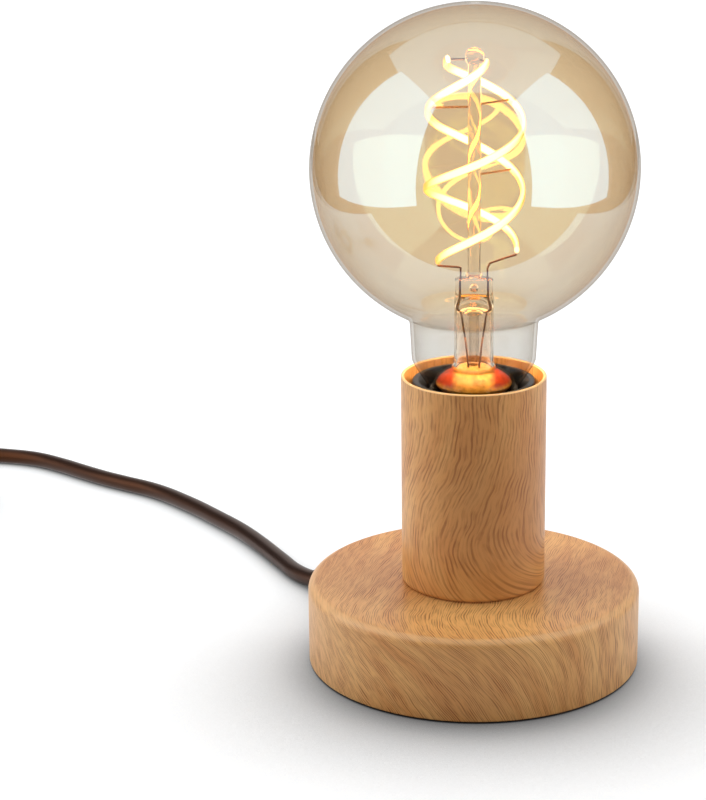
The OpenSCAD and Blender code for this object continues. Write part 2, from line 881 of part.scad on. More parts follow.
// Point of a strand; s runs from 0 at the bottom to 1 at the top
function strand_point(strand, s) =
    let (
        low = max(0, (0.22 - s) / 0.22),
        high = max(0, (s - 0.64) / 0.36),
        r = spiral_r - (spiral_r - strand[3]) * pow(low, 2) - (spiral_r - strand[2]) * pow(high, 2),
        a = strand[0] - 360 * strand[1] * (1 - s),
        z = spiral_z + strand[4] * (1 - s) + spiral_h * s + spiral_peak * sin(180 * high)
    )
    [r * cos(a), r * sin(a), z];

function strand_path(strand) =
    [for (i = [0:strand_rings]) strand_point(strand, i / strand_rings)];

STRAND_OUTLINE = [
    [-strand_t / 2, -strand_w / 2 + 0.4], [-strand_t / 2 + 0.4, -strand_w / 2],
    [strand_t / 2 - 0.4, -strand_w / 2], [strand_t / 2, -strand_w / 2 + 0.4],
    [strand_t / 2, strand_w / 2 - 0.4], [strand_t / 2 - 0.4, strand_w / 2],
    [-strand_t / 2 + 0.4, strand_w / 2], [-strand_t / 2, strand_w / 2 - 0.4]
];

module filament_a() {
    color("gold") sweep(strand_path(STRAND_A), STRAND_OUTLINE);
}

module filament_b() {
    color("gold") sweep(strand_path(STRAND_B), STRAND_OUTLINE);
}

// Straight wire from one point to another
module wire(a, b) {
    v = b - a;
    translate(a)
        rotate([0, acos(v[2] / norm(v)), atan2(v[1], v[0])])
            cylinder(r = lead_r, h = norm(v), $fn = 16);
}

module support_wires() {
    color("silver")
        for (strand = [STRAND_A, STRAND_B], s = [0.42, 0.74, 1])
            let (
                p = strand_point(strand, s),
                out = norm([p[0], p[1]]),
                start = (s == 1 ? button_r : rod_r) + fit,
                reach = out - strand_t / 2 - fit,
                dir = [p[0] / out, p[1] / out, 0]
            )
                wire([0, 0, p[2]] + start * dir, [0, 0, p[2]] + reach * dir);
}

function lead_route(s, strand) =
    let (p = strand_point(strand, 0), low = p[2] - strand_w / 2 - lead_r)
    [
        [s * 2.6, -2.2, board_z + board_t + 0.1],
        [s * 1.3, -2.6, flare_z + 0.5],
        [s * 1.3, -2.6, flare_z + stem_len * 0.3],
        [s * 2.3, -1.8, flare_z + stem_len * 0.6],
        [s * 3.4, -0.6, flare_z + stem_len * 0.82],
        [s * 3.9, 0, press_z - 3],
        [s * 3.9, 0, press_top + 0.6],
        [s * 4.6, p[1] * 0.2, press_top + (low - press_top) * 0.45],
        [p[0] * 0.75, p[1] * 0.75, press_top + (low - press_top) * 0.8],
        [p[0], p[1], low]
    ];

module lead_wires() {
    color("silver") {
        tube_along(lead_route(-1, STRAND_A), lead_r, 6, [0, 1, 0]);
        tube_along(lead_route(1, STRAND_B), lead_r, 6, [0, 1, 0]);
    }
}

// Capacitor and chip under the driver's board
capacitor_r = 2.6;
capacitor_h = 6;
chip = [5, 4, 2.7];

module driver_board() {
    color("darkgreen") {
        translate([0, 0, board_z])
            cylinder(r = cap_bore_r * free_share - hole_fit, h = board_t);
        translate([-5, 2.5, board_z - capacitor_h])
            cylinder(r = capacitor_r, h = capacitor_h + board_t / 2, $fn = 48);
        translate([3.5, 2, board_z - chip[2] + board_t / 4])
            translate([0, 0, chip[2] / 2]) cube(chip, center = true);
    }
}

module screw_cap() {
    start = thread_low;
    end = thread_high;
    root = thread_r - thread_amp;
    turns_z = [for (z = [start + 1.2:thread_pitch / 6:end]) z];
    color("silver")
        threaded_shell(concat(
            [[bulb_z + 3.6, cap_lip_r, 0], [bulb_z + 3.6, cap_lip_r + 0.5, 0], [start, root, 0]],
            [for (z = turns_z) [z, thread_r, thread_amp]],
            [
                [end + 1.6, cap_rim_r, 0], [cap_top, cap_rim_r, 0], [cap_top, cap_bore_r, 0],
                [start + 0.6, cap_bore_r, 0]
            ]
        ));
}

// Radius of the hole in the cap's low end
cap_lip_r = 9.6;

module cap_insulator() {
    r = cap_lip_r * free_share - fit;
    color("black")
        translate([0, 0, bulb_z])
            rotate_extrude()
                polygon([[pin_hole_r, 1.2], [5.2, 0.9], [r, 3.3], [r, 7], [pin_hole_r, 7]]);
}

// Radius of the hole for the cap's middle contact
pin_hole_r = 3;

module cap_contact() {
    color("silver")
        translate([0, 0, bulb_z])
            rotate_extrude()
                polygon([
                    [0, 0], [2.2, 0], [4.6, 0.3], [4.6, 0.8], [3.4, 1], [pin_hole_r - fit, 1.1],
                    [pin_hole_r - fit, 6], [0, 6]
                ]);
}

// ---------- cord on the table ----------

function coil_w(u) = sqrt(pow(u - coil_loops / 2, 2) + pow(coil_ease, 2)) - coil_ease;

// Height of the coil's upper layer, reached in the half loop where the spiral turns back
function coil_rise(u) =
    let (k = min(1, max(0, 2 * (u - coil_loops / 2) + 0.5))) (1 - cos(180 * k)) / 2;

function coil_r(u) = coil_inner_r + coil_pitch * coil_w(u);

function coil_point(u) =
    let (r = coil_r(u), a = coil_a + 360 * u)
    [coil_x + r * cos(a), coil_y + r * sin(a), coil_z + coil_pitch * coil_rise(u)];

function coil_start_dir() = unit(coil_point(0.01) - coil_point(0));
function coil_end_dir() = unit(coil_point(coil_loops) - coil_point(coil_loops - 0.01));

COIL_PATH = concat(
    [coil_point(0) - cord_d * coil_start_dir()],
    [for (i = [0:coil_loops * coil_steps]) coil_point(i / coil_steps)],
    [coil_point(coil_loops) + cord_d * coil_end_dir()]
);
coil_last = len(COIL_PATH) - 1;

// Least room between loops that lie a third of a loop or more apart along the cord
coil_room = min([
    for (i = [0:coil_last], j = [i + coil_steps / 3:coil_last])
        norm(COIL_PATH[i] - COIL_PATH[j]) - cord_d
]);

// Length of the straight end that makes a tube meet its neighbour squarely
straight = 3;
relief_tip = at_hole(relief_tip_r, relief_tip_z);
relief_dir = unit(relief_tip - at_hole(base_r + relief_root, cord_hole_z));
plug_end = [plug_x, plug_y, plug_z];
plug_dir = [cos(plug_a), sin(plug_a), 0];

RUN_PATH = concat(
    [relief_tip, relief_tip + straight * relief_dir], RUN_ROUTE,
    [[switch_x + switch_len / 2, switch_y, switch_split],
     [switch_x + switch_len / 2 - socket_len, switch_y, switch_split]]
);
LEAD_PATH = concat(
    [[switch_x - switch_len / 2 + socket_len, switch_y, switch_split],
     [switch_x - switch_len / 2, switch_y, switch_split]],
    LEAD_ROUTE, [COIL_PATH[0] - straight * coil_start_dir(), COIL_PATH[0]]
);
END_PATH = concat(
    [COIL_PATH[coil_last], COIL_PATH[coil_last] + straight * coil_end_dir()],
    END_ROUTE, [plug_end - straight * plug_dir, plug_end]
);

echo("least gap of the coil to itself", coil_room);
echo("cord from lamp to switch", path_len(RUN_PATH));
echo("cord from switch to plug", path_len(LEAD_PATH) + path_len(COIL_PATH) + path_len(END_PATH));

module cord_run() {
    color("black") tube_along(RUN_PATH, cord_r, 8);
}

module cord_lead() {
    color("black") tube_along(LEAD_PATH, cord_r, 8);
}

module cord_coil() {
    color("black") tube_along(COIL_PATH, cord_r, coil_sides);
}

module cord_end() {
    color("black") tube_along(END_PATH, cord_r, 8);
}

module cord_tie() {
    u = (tie_a - coil_a + 360) / 360;
    outer = coil_r(coil_loops - 1 + u) + cord_r + 0.4;
    inner = min([for (k = [0:coil_loops - 1]) coil_r(k + u)]) - cord_r - 0.8;
    w = outer - inner;
    h = coil_pitch + cord_d + 0.4;
    tie_corner_r = 3;
    color("dimgray")
        translate([coil_x, coil_y, 0])
            rotate([0, 0, tie_a])
                translate([(outer + inner) / 2, tie_w / 2, tie_t + h / 2])
                    rotate([90, 0, 0])
                        linear_extrude(height = tie_w)
                            difference() {
                                rounded_rect(w + 2 * tie_t, h + 2 * tie_t, tie_corner_r);
                                rounded_rect(w, h, tie_corner_r - tie_t);
                            }
}

// ---------- switch ----------

module at_switch() {
    translate([switch_x, switch_y, 0]) children();
}

module switch_outline(inset) {
    rounded_rect(switch_len - 2 * inset, switch_w - 2 * inset, switch_corner_r - inset);
}

module at_switch_screws() {
    for (s = [-1, 1]) translate([s * switch_screw_x, s * switch_screw_y, 0]) children();
}

module cord_sockets() {
    for (s = [-1, 1])
        translate([s * (switch_len / 2 - 8), 0, switch_split])
            rotate([0, s > 0 ? 90 : -90, 0]) cylinder(r = cord_r + 0.15, h = 10, $fn = 48);
}

module switch_ends(z0, h) {
    intersection() {
        translate([0, 0, z0]) linear_extrude(height = h) switch_outline(0.5);
        for (s = [-1, 1])
            translate([s * (switch_len / 2 - socket_len / 2 - 0.5), 0, z0 + h / 2])
                cube([socket_len, cord_d + 4, h], center = true);
    }
}

module switch_bottom() {
    h = switch_split - fit;
    color("black")
        at_switch()
            difference() {
                union() {
                    difference() {
                        linear_extrude(height = h) switch_outline(0);
                        translate([0, 0, switch_t])
                            linear_extrude(height = h) switch_outline(switch_t);
                    }
                    switch_ends(switch_t - 0.5, h - switch_t + 0.5);
                    at_switch_screws() cylinder(r = boss_r, h = h, $fn = 48);
                }
                cord_sockets();
                at_switch_screws() {
                    translate([0, 0, -1]) cylinder(r = m3_r + hole_fit, h = h + 2, $fn = 48);
                    translate([0, 0, -1]) cylinder(r = m3_head_r - 0.5, h = 3, $fn = 48);
                }
            }
}

module switch_top() {
    z0 = switch_split;
    h = switch_h - z0;
    slot = rocker_len / 2 + 1.1;
    post_y = rocker_slot_w / 2;
    color("black")
        at_switch()
            difference() {
                union() {
                    difference() {
                        union() {
                            translate([0, 0, z0])
                                linear_extrude(height = h - 1.2) switch_outline(0);
                            translate([0, 0, z0])
                                linear_extrude(height = h) switch_outline(1.2);
                        }
                        translate([0, 0, z0 - 1])
                            linear_extrude(height = h + 1 - switch_t) switch_outline(switch_t);
                    }
                    switch_ends(z0, h - switch_t + 0.5);
                    at_switch_screws()
                        translate([0, 0, z0]) cylinder(r = boss_r, h = h - switch_t + 0.5, $fn = 48);
                    for (s = [-1, 1])
                        translate([0, s * (post_y + post_t / 2), (rocker_z - 3 + switch_h - 0.5) / 2])
                            cube([7, post_t, switch_h - 0.5 - rocker_z + 3], center = true);
                }
                cord_sockets();
                translate([0, 0, switch_h])
                    cube([2 * slot, rocker_slot_w, 4 * switch_t], center = true);
                translate([0, post_y + post_t + 0.2, rocker_z])
                    rotate([90, 0, 0])
                        cylinder(r = pin_r + fit, h = 2 * (post_y + post_t + 0.2), $fn = 48);
                at_switch_screws()
                    translate([0, 0, z0 - 1]) cylinder(r = m3_r - 0.2 + fit, h = 7, $fn = 48);
            }
}

// Rocker, pressed down at the end next to the coil, which is on
module switch_rocker() {
    x = rocker_len / 2;
    color("black")
        at_switch()
            translate([0, 0, rocker_z])
                rotate([0, -rocker_tilt, 0])
                    difference() {
                        translate([0, rocker_w / 2, 0]) rotate([90, 0, 0])
                            linear_extrude(height = rocker_w)
                                polygon(concat(
                                    [[-3, -3.2], [3, -3.2], [x, 0.8]],
                                    [for (k = [0:12])
                                        let (t = 1 - k / 6)
                                        [x * t, rocker_rise + 1.6 * t * t]],
                                    [[-x, 0.8]]
                                ));
                        translate([0, rocker_w, 0]) rotate([90, 0, 0])
                            cylinder(r = pin_r + fit, h = 2 * rocker_w, $fn = 48);
                    }
}

module rocker_pin() {
    len = rocker_slot_w + 2 * post_t;
    color("silver")
        at_switch()
            translate([0, len / 2, rocker_z]) rotate([90, 0, 0]) cylinder(r = pin_r, h = len, $fn = 48);
}

module switch_contacts() {
    strip = 0.8;
    color("gold")
        at_switch()
            for (s = [0, 180])
                rotate([0, 0, s])
                    translate([0, 3, switch_t]) rotate([90, 0, 0])
                        linear_extrude(height = 6)
                            polygon([
                                [4, 0], [18, 0], [18, strip], [4 + strip, strip],
                                [4 + strip, switch_split - switch_t - 0.6],
                                [4, switch_split - switch_t - 0.6]
                            ]);
}

module switch_screws() {
    color("silver")
        at_switch()
            at_switch_screws() {
                translate([0, 0, 0.3]) cylinder(r = m3_head_r - 0.7, h = 1.7, $fn = 48);
                translate([0, 0, 0.3]) cylinder(r = m3_r - 0.2, h = switch_split + 4, $fn = 48);
            }
}

// ---------- plug ----------

module at_plug() {
    translate([plug_x, plug_y, plug_z]) rotate([0, 0, plug_a]) children();
}

// Plan of the plug's body, drawn in by t
module plug_plan(t) {
    w = plug_w / 2 - t;
    polygon([
        [t, -6.5 + t / 2], [6, -w + 5], [13, -w], [plug_len - 11, -w], [plug_len - t, -w + 4.6],
        [plug_len - t, w - 4.6], [plug_len - 11, w], [13, w], [6, w - 5], [t, 6.5 - t / 2]
    ]);
}

module plug_body() {
    groove = 1.6;
    color("black")
        at_plug() {
            translate([plug_relief_len, 0, 0])
                hull() {
                    translate([0, 0, -plug_t / 2]) linear_extrude(height = plug_t) plug_plan(1.6);
                    translate([0, 0, 1.6 - plug_t / 2]) linear_extrude(height = plug_t - 3.2) plug_plan(0);
                }
            difference() {
                rotate([0, 90, 0])
                    cylinder(r1 = cord_r + 0.8, r2 = 5.6, h = plug_relief_len + 1.8, $fn = 48);
                for (i = [1:4])
                    translate([i * plug_relief_len / 5.2, 0, 0])
                        rotate([0, 90, 0])
                            difference() {
                                cylinder(r = 8, h = groove, $fn = 48);
                                translate([0, 0, -1])
                                    cylinder(r = cord_r + 0.5 + i * 0.25, h = groove + 2, $fn = 48);
                            }
            }
        }
}

module plug_pins() {
    color("silver")
        at_plug()
            for (s = [-1, 1])
                translate([plug_relief_len + plug_len, s * pin_gap / 2, 0])
                    rotate([0, 90, 0]) {
                        cylinder(r = pin_d / 2, h = pin_len - pin_d / 2, $fn = 48);
                        translate([0, 0, pin_len - pin_d / 2]) sphere(r = pin_d / 2, $fn = 48);
                    }
}

base_shell();
weight_disc();
pillars();
bottom_plate();
plate_screws();
foot_pad();
sleeve_tube();
nipple();
nipple_nuts();
nipple_washers();
cord_bushing();
cord_inner();
clamp_block();
clamp_bridge();
clamp_screws();
wire_brown();
wire_blue();
holder_cap();
holder_skirt();
holder_insert();
screw_shell();
centre_contact();
side_contact();
terminals();
terminal_screws();
lock_screw();
glass_envelope();
stem_glass();
exhaust_tube();
glass_rod();
filament_a();
filament_b();
support_wires();
lead_wires();
driver_board();
screw_cap();
cap_insulator();
cap_contact();
cord_run();
cord_lead();
cord_coil();
cord_end();
cord_tie();
switch_bottom();
switch_top();
switch_rocker();
rocker_pin();
switch_contacts();
switch_screws();
plug_body();
plug_pins();
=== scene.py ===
import math

import bpy
from bpy.props import FloatProperty, FloatVectorProperty, PointerProperty
from bpy.types import Operator, Panel, PropertyGroup, Scene
from mathutils import Matrix, Vector


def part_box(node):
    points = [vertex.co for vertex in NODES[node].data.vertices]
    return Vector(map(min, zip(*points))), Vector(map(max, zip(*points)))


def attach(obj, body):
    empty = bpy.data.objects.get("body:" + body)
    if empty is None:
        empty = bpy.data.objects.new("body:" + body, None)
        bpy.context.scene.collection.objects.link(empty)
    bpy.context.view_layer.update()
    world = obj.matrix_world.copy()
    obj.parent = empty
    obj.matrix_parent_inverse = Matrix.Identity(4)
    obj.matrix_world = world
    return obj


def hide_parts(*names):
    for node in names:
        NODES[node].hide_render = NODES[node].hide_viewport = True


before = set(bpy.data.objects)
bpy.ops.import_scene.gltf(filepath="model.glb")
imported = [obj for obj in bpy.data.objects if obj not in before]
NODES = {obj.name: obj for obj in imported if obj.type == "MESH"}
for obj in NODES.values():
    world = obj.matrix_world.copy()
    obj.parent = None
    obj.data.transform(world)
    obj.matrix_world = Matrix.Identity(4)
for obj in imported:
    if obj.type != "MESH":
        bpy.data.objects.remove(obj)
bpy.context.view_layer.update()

MM = 0.001

bl_info = {
    "name": "Bare bulb table lamp",
    "version": (1, 0, 0),
    "blender": (4, 5, 0),
    "location": "View3D > Sidebar > Lamp",
    "description": "Builds the looks of a bare bulb table lamp round its CAD frame",
    "category": "Object",
}


# ---------- sizes taken from the frame, in metres ----------


def low(node):
    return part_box(node)[0]


def high(node):
    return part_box(node)[1]


BASE_R = high("base_shell").x
BASE_TOP = high("base_shell").z
BASE_LOW = low("base_shell").z
SLEEVE_R = high("sleeve_tube").x
SLEEVE_TOP = high("sleeve_tube").z
GLOBE_TOP = high("glass_envelope").z
BULB_LOW = low("cap_contact").z
HOLDER_TOP = high("holder_skirt").z
PRESS_TOP = low("glass_rod").z
GLOBE_Z = PRESS_TOP + 29.9 * MM
CAP_TOP = BULB_LOW + 27 * MM


def to_linear(code):
    """Linear red, green, blue and alpha of an sRGB hex value."""
    parts = [int(code[i : i + 2], 16) / 255 for i in (1, 3, 5)]
    return [c / 12.92 if c <= 0.04045 else ((c + 0.055) / 1.055) ** 2.4 for c in parts] + [1.0]


# ---------- sizes and colours that a user would change ----------


class LampSizes(PropertyGroup):
    globe_r: FloatProperty(
        name="Globe radius",
        description="Outer radius of the glass globe",
        default=GLOBE_TOP - GLOBE_Z,
        unit="LENGTH",
    )
    glass_t: FloatProperty(
        name="Glass thickness",
        description="Thickness of the blown glass",
        default=1.0 * MM,
        unit="LENGTH",
    )
    strand_w: FloatProperty(
        name="Strand width",
        description="Width of one filament strand",
        default=2.3 * MM,
        unit="LENGTH",
    )
    cord_d: FloatProperty(
        name="Cord diameter",
        description="Outer diameter of the round mains cord",
        default=5.6 * MM,
        unit="LENGTH",
    )


class LampColours(PropertyGroup):
    oak_light: FloatVectorProperty(
        name="Oak ground",
        description="Ground colour of the printed wood grain",
        default=to_linear("#DEA866")[:3],
        subtype="COLOR",
        size=3,
    )
    oak_warm: FloatVectorProperty(
        name="Oak shade",
        description="Second ground colour, in the broad bands of the grain",
        default=to_linear("#CC8D4D")[:3],
        subtype="COLOR",
        size=3,
    )
    oak_pore: FloatVectorProperty(
        name="Oak pores",
        description="Colour of the fine dashes of the grain",
        default=to_linear("#7C441A")[:3],
        subtype="COLOR",
        size=3,
    )
    strand_light: FloatVectorProperty(
        name="Strand light",
        description="Colour of the light of the strands",
        default=to_linear("#FFEABF")[:3],
        subtype="COLOR",
        size=3,
    )
    strand_power: FloatProperty(
        name="Strand strength",
        description="Strength of the light of the strands",
        default=3.6,
        min=0.0,
    )


def sizes():
    return bpy.context.scene.lamp_sizes


def colours():
    return bpy.context.scene.lamp_colours


# ---------- node and mesh tools ----------


def add(tree, kind, inputs=None, **settings):
    """Adds a shader node, sets its properties, and sets or links its inputs."""
    made = tree.nodes.new("ShaderNode" + kind)
    for name, value in settings.items():
        setattr(made, name, value)
    for key, value in (inputs or {}).items():
        if isinstance(value, bpy.types.NodeSocket):
            tree.links.new(value, made.inputs[key])
        else:
            made.inputs[key].default_value = value
    return made


def empty_material(name):
    """A material with an output and nothing else, and its node tree."""
    mat = bpy.data.materials.new(name)
    mat.use_nodes = True
    mat.node_tree.nodes.clear()
    return mat, mat.node_tree


def show(tree, shader):
    add(tree, "OutputMaterial", {"Surface": shader})


def mesh_object(name, verts, faces, body, stands_for=(), materials=(), smooth=32):
    """A new mesh piece that rides on a body and stands for CAD nodes."""
    mesh = bpy.data.meshes.new(name)
    mesh.from_pydata([Vector(v) for v in verts], [], faces)
    mesh.validate()
    mesh.polygons.foreach_set("use_smooth", [True] * len(mesh.polygons))
    if smooth:
        mesh.set_sharp_from_angle(angle=math.radians(smooth))
    for material in materials:
        mesh.materials.append(material)
    piece = bpy.data.objects.new(name, mesh)
    bpy.context.scene.collection.objects.link(piece)
    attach(piece, body)
    if stands_for:
        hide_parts(*stands_for)
    return piece


def ring_faces(rings, segments, start=0, closed=True):
    """Faces from each ring of vertices to the next, and from the last to the first if closed."""
    return [
        tuple(
            start + ring % rings * segments + spot % segments
            for ring, spot in ((j, i), (j, i + 1), (j + 1, i + 1), (j + 1, i))
        )
        for j in range(rings if closed else rings - 1)
        for i in range(segments)
    ]


def spin(profile, segments, closed=True):
    """Vertices and faces of a profile of (radius, height) turned round the lamp's axis."""
    verts = [
        (r * math.cos(a), r * math.sin(a), z)
        for r, z in profile
        for a in (2 * math.pi * i / segments for i in range(segments))
    ]
    return verts, ring_faces(len(profile), segments, closed=closed)


def arc(cx, cy, r, a0, a1, n=10):
    """Points on an arc, its angles in degrees."""
    return [
        (
            cx + r * math.cos(math.radians(a0 + (a1 - a0) * i / n)),
            cy + r * math.sin(math.radians(a0 + (a1 - a0) * i / n)),
        )
        for i in range(n + 1)
    ]


def line(a, b, n):
    """Points from a to b, without b."""
    return [(a[0] + (b[0] - a[0]) * i / n, a[1] + (b[1] - a[1]) * i / n) for i in range(n)]


def in_mm(points):
    return [tuple(c * MM for c in p) for p in points]


def dress(names, material):
    """Gives CAD nodes a material."""
    for name in names:
        mesh = NODES[name].data
        mesh.materials.clear()
        mesh.materials.append(material)


# ---------- materials ----------

# Light that one pass through the film lets by, straight on and aslant, and at the neck
FILM_CLEAR, FILM_DEEP, NECK_CLEAR = "#FCE7C8", "#FDE4C2", "#E9E7E3"
# Share of the light that the film takes out of the straight way, and what it throws back of it
FILM_GLEAM, FILM_BACK = 0.22, "#9EDDFF"
# Heights between which the film fades to clear glass, downwards
FILM_TOP, FILM_END = 124 * MM, 99 * MM


def printed_oak(name, spacing, strength, patches, rim=None):
    """Sheet steel with a transfer-printed oak grain under a satin clear coat.

    To the eye: honey ground, crisp dark lines some spacing (mm) apart that follow the drawing of
    the grain and break up into strokes, a faint sheen at the edges, and no relief. Strength is
    how dark the lines print, from 0 to 1. Patches are painted light and shade on the ground:
    golden or lighter places of painted light and reddish or darker places of painted shade,
    each a middle and radius (mm), colour and share. At the rim, a (radius, height) in mm, a
    cream band of painted highlight runs along the edge.
    """
    mat, tree = empty_material(name)
    tone = colours()
    grain = add(tree, "Attribute", attribute_name="grain").outputs["Vector"]
    place = add(tree, "TexCoord").outputs["Object"]

    def noise(stretch, detail, low, high, smooth="SMOOTHSTEP"):
        """Noise 1 / stretch mm wide and long, with its contrast raised."""
        at = add(tree, "VectorMath", {0: bent, 1: (*stretch, 1.0)}, operation="MULTIPLY")
        cloud = add(tree, "TexNoise", {"Vector": at.outputs[0], "Scale": 1.0, "Detail": detail})
        spread = {"Value": cloud.outputs["Fac"], "From Min": low, "From Max": high}
        return add(tree, "MapRange", spread, interpolation_type=smooth).outputs["Result"]

    def near(point, middle, inner, outer, share):
        """Share within inner mm of a middle, falling to nothing at outer mm."""
        middle = [c * MM for c in middle]
        away = add(tree, "VectorMath", {0: point, 1: middle}, operation="SUBTRACT").outputs[0]
        away = add(tree, "VectorMath", {0: away}, operation="LENGTH").outputs["Value"]
        fall = {"Value": away, "From Min": inner * MM, "From Max": outer * MM}
        fall.update({"To Min": share, "To Max": 0.0})
        return add(tree, "MapRange", fall, interpolation_type="SMOOTHSTEP").outputs["Result"]

    # Slow drift of the lines, 9 mm across
    drift = add(tree, "TexNoise", {"Vector": grain, "Scale": 0.11, "Detail": 1.0}).outputs["Color"]
    drift = add(tree, "VectorMath", {0: drift, 1: (0.5, 0.5, 0.5)}, operation="SUBTRACT")
    drift = {0: drift.outputs[0], 1: (3.0, 0.0, 0.0)}
    drift = add(tree, "VectorMath", drift, operation="MULTIPLY").outputs[0]
    bent = add(tree, "VectorMath", {0: grain, 1: drift}, operation="ADD").outputs[0]
    # Lines of the print; a wave's bands lie 0.314 / scale apart
    at = add(tree, "VectorMath", {0: bent, 1: (1.0, 0.16, 1.0)}, operation="MULTIPLY").outputs[0]
    wave = {"Vector": at, "Scale": 0.314 / spacing, "Distortion": 5.0}
    wave.update({"Detail": 1.5, "Detail Scale": 0.9})
    lines = add(tree, "TexWave", wave, bands_direction="X").outputs["Fac"]
    crisp = {"Value": lines, "From Min": 0.40, "From Max": 0.95}
    lines = add(tree, "MapRange", crisp, interpolation_type="SMOOTHSTEP").outputs["Result"]
    # The lines break up into strokes some 8 mm long
    strokes = noise((0.55 / spacing, 0.12), 2.0, 0.38, 0.62)
    dashes = noise((1.8, 0.2), 1.0, 0.52, 0.64)
    hairs = noise((2.8, 0.15), 1.0, 0.42, 0.72, "LINEAR")
    bands = noise((0.13, 0.03), 2.0, 0.28, 0.72)
    depth = {"Value": bands, "To Min": 0.65 * strength, "To Max": strength}
    depth = add(tree, "MapRange", depth).outputs["Result"]
    for part in (strokes, depth):
        lines = add(tree, "Math", {0: lines, 1: part}, operation="MULTIPLY").outputs[0]
    layers = [(bands, [*tone.oak_warm, 1])]
    # Painted light and shade: each patch lightens or darkens the ground round its middle
    for middle, radius, code, share in patches:
        layers.append((near(place, middle, radius * 0.3, radius, share), to_linear(code)))
    for mark, share in ((hairs, 0.14), (dashes, 0.22), (lines, 1.0)):
        amount = add(tree, "Math", {0: mark, 1: share}, operation="MULTIPLY").outputs[0]
        layers.append((amount, [*tone.oak_pore, 1]))
    if rim:
        flat = add(tree, "VectorMath", {0: place, 1: (1, 1, 0)}, operation="MULTIPLY").outputs[0]
        radius = add(tree, "VectorMath", {0: flat}, operation="LENGTH").outputs["Value"]
        level = add(tree, "SeparateXYZ", {0: place}).outputs["Z"]
        section = add(tree, "CombineXYZ", {"X": radius, "Z": level}).outputs[0]
        # Painted highlight: a cream band along the pressed edge, where the lamps' sheen would lie
        thin = near(section, (rim[0], 0, rim[1]), 0.4, 1.6, 0.28)
        layers.append((thin, to_linear("#F2CB9A")))
    wood = [*tone.oak_light, 1]
    for amount, colour in layers:
        wood = add(tree, "Mix", {0: amount, 6: wood, 7: colour}, data_type="RGBA").outputs[2]
    rough = add(tree, "MapRange", {"Value": lines, "To Min": 0.42, "To Max": 0.50})
    satin = {"Base Color": wood, "Roughness": rough.outputs["Result"], "IOR": 1.5}
    satin.update({"Specular IOR Level": 0.45, "Coat Weight": 0.10, "Coat Roughness": 0.28})
    show(tree, add(tree, "BsdfPrincipled", satin).outputs[0])
    return mat


def clouded(name, tones, cloud, fine, rough, worn, relief, shader):
    """A material in soft clouds of two tones, under a fine skin that its bump follows.

    Cloud and fine are each a size (mm) and a detail, rough is the least and the most roughness,
    which goes with the skin where worn is true and with the clouds where it isn't, relief is a
    strength and a depth (mm), and shader holds the rest of the shader's values.
    """
    mat, tree = empty_material(name)
    place = add(tree, "TexCoord").outputs["Object"]
    clouds, skin = (
        add(
            tree, "TexNoise", {"Vector": place, "Scale": 1 / (size * MM), "Detail": detail}
        ).outputs["Fac"]
        for size, detail in (cloud, fine)
    )
    tone = {0: clouds, 6: to_linear(tones[0]), 7: to_linear(tones[1])}
    tone = add(tree, "Mix", tone, data_type="RGBA").outputs[2]
    rough = {"Value": skin if worn else clouds, "To Min": rough[0], "To Max": rough[1]}
    rough = add(tree, "MapRange", rough).outputs["Result"]
    bump = {"Height": skin, "Strength": relief[0], "Distance": relief[1] * MM}
    bump = add(tree, "Bump", bump).outputs["Normal"]
    shader = {"Base Color": tone, "Roughness": rough, "Normal": bump, **shader}
    show(tree, add(tree, "BsdfPrincipled", shader).outputs[0])
    return mat


def plated(name, code, second, roughness, metallic=1.0):
    """Plated, turned or drawn metal: a soft cloud of tone and fine handling marks."""
    rough = roughness * 0.7, roughness * 1.3
    shader = {"Metallic": metallic}
    return clouded(name, (code, second), (6, 3.0), (0.6, 2.0), rough, True, (0.08, 0.05), shader)


def moulded(name, code, second, roughness, grain_mm=0.4, relief_mm=0.02, ior=1.5):
    """Moulded or extruded plastic, ceramic or foam: nearly even colour and a fine skin."""
    rough = roughness * 0.85, roughness * 1.15
    fine, relief = (grain_mm, 2.0), (0.5, relief_mm)
    return clouded(name, (code, second), (9, 2.0), fine, rough, False, relief, {"IOR": ior})


def cord_jacket():
    """Extruded PVC jacket: smooth and near black, a little uneven, with a warm gloss."""
    tones, shader = ("#1C120E", "#120C0A"), {"IOR": 1.5, "Specular IOR Level": 0.75}
    shader["Specular Tint"] = to_linear("#DC8A58")
    return clouded(
        "Extruded PVC jacket", tones, (14, 2.0), (0.5, 1.0), (0.30, 0.42), False, (0.2, 0.02),
        shader,
    )


def facing_power(tree, power):
    """How far a face turns away from the line of sight, from 0 to 1, to a power."""
    facing = add(tree, "LayerWeight", {"Blend": 0.5}).outputs["Facing"]
    return add(tree, "Math", {0: facing, 1: power}, operation="POWER").outputs[0]


def half_mirror(tree, tint, share, back, roughness):
    """Shows a face that lets tinted light by, apart from a share that it mirrors."""
    clear = add(tree, "BsdfTransparent", {"Color": tint}).outputs[0]
    metal = {"Base Color": to_linear(back), "Metallic": 1.0, "Roughness": roughness}
    mirror = add(tree, "BsdfPrincipled", metal).outputs[0]
    show(tree, add(tree, "MixShader", {0: share, 1: clear, 2: mirror}).outputs[0])


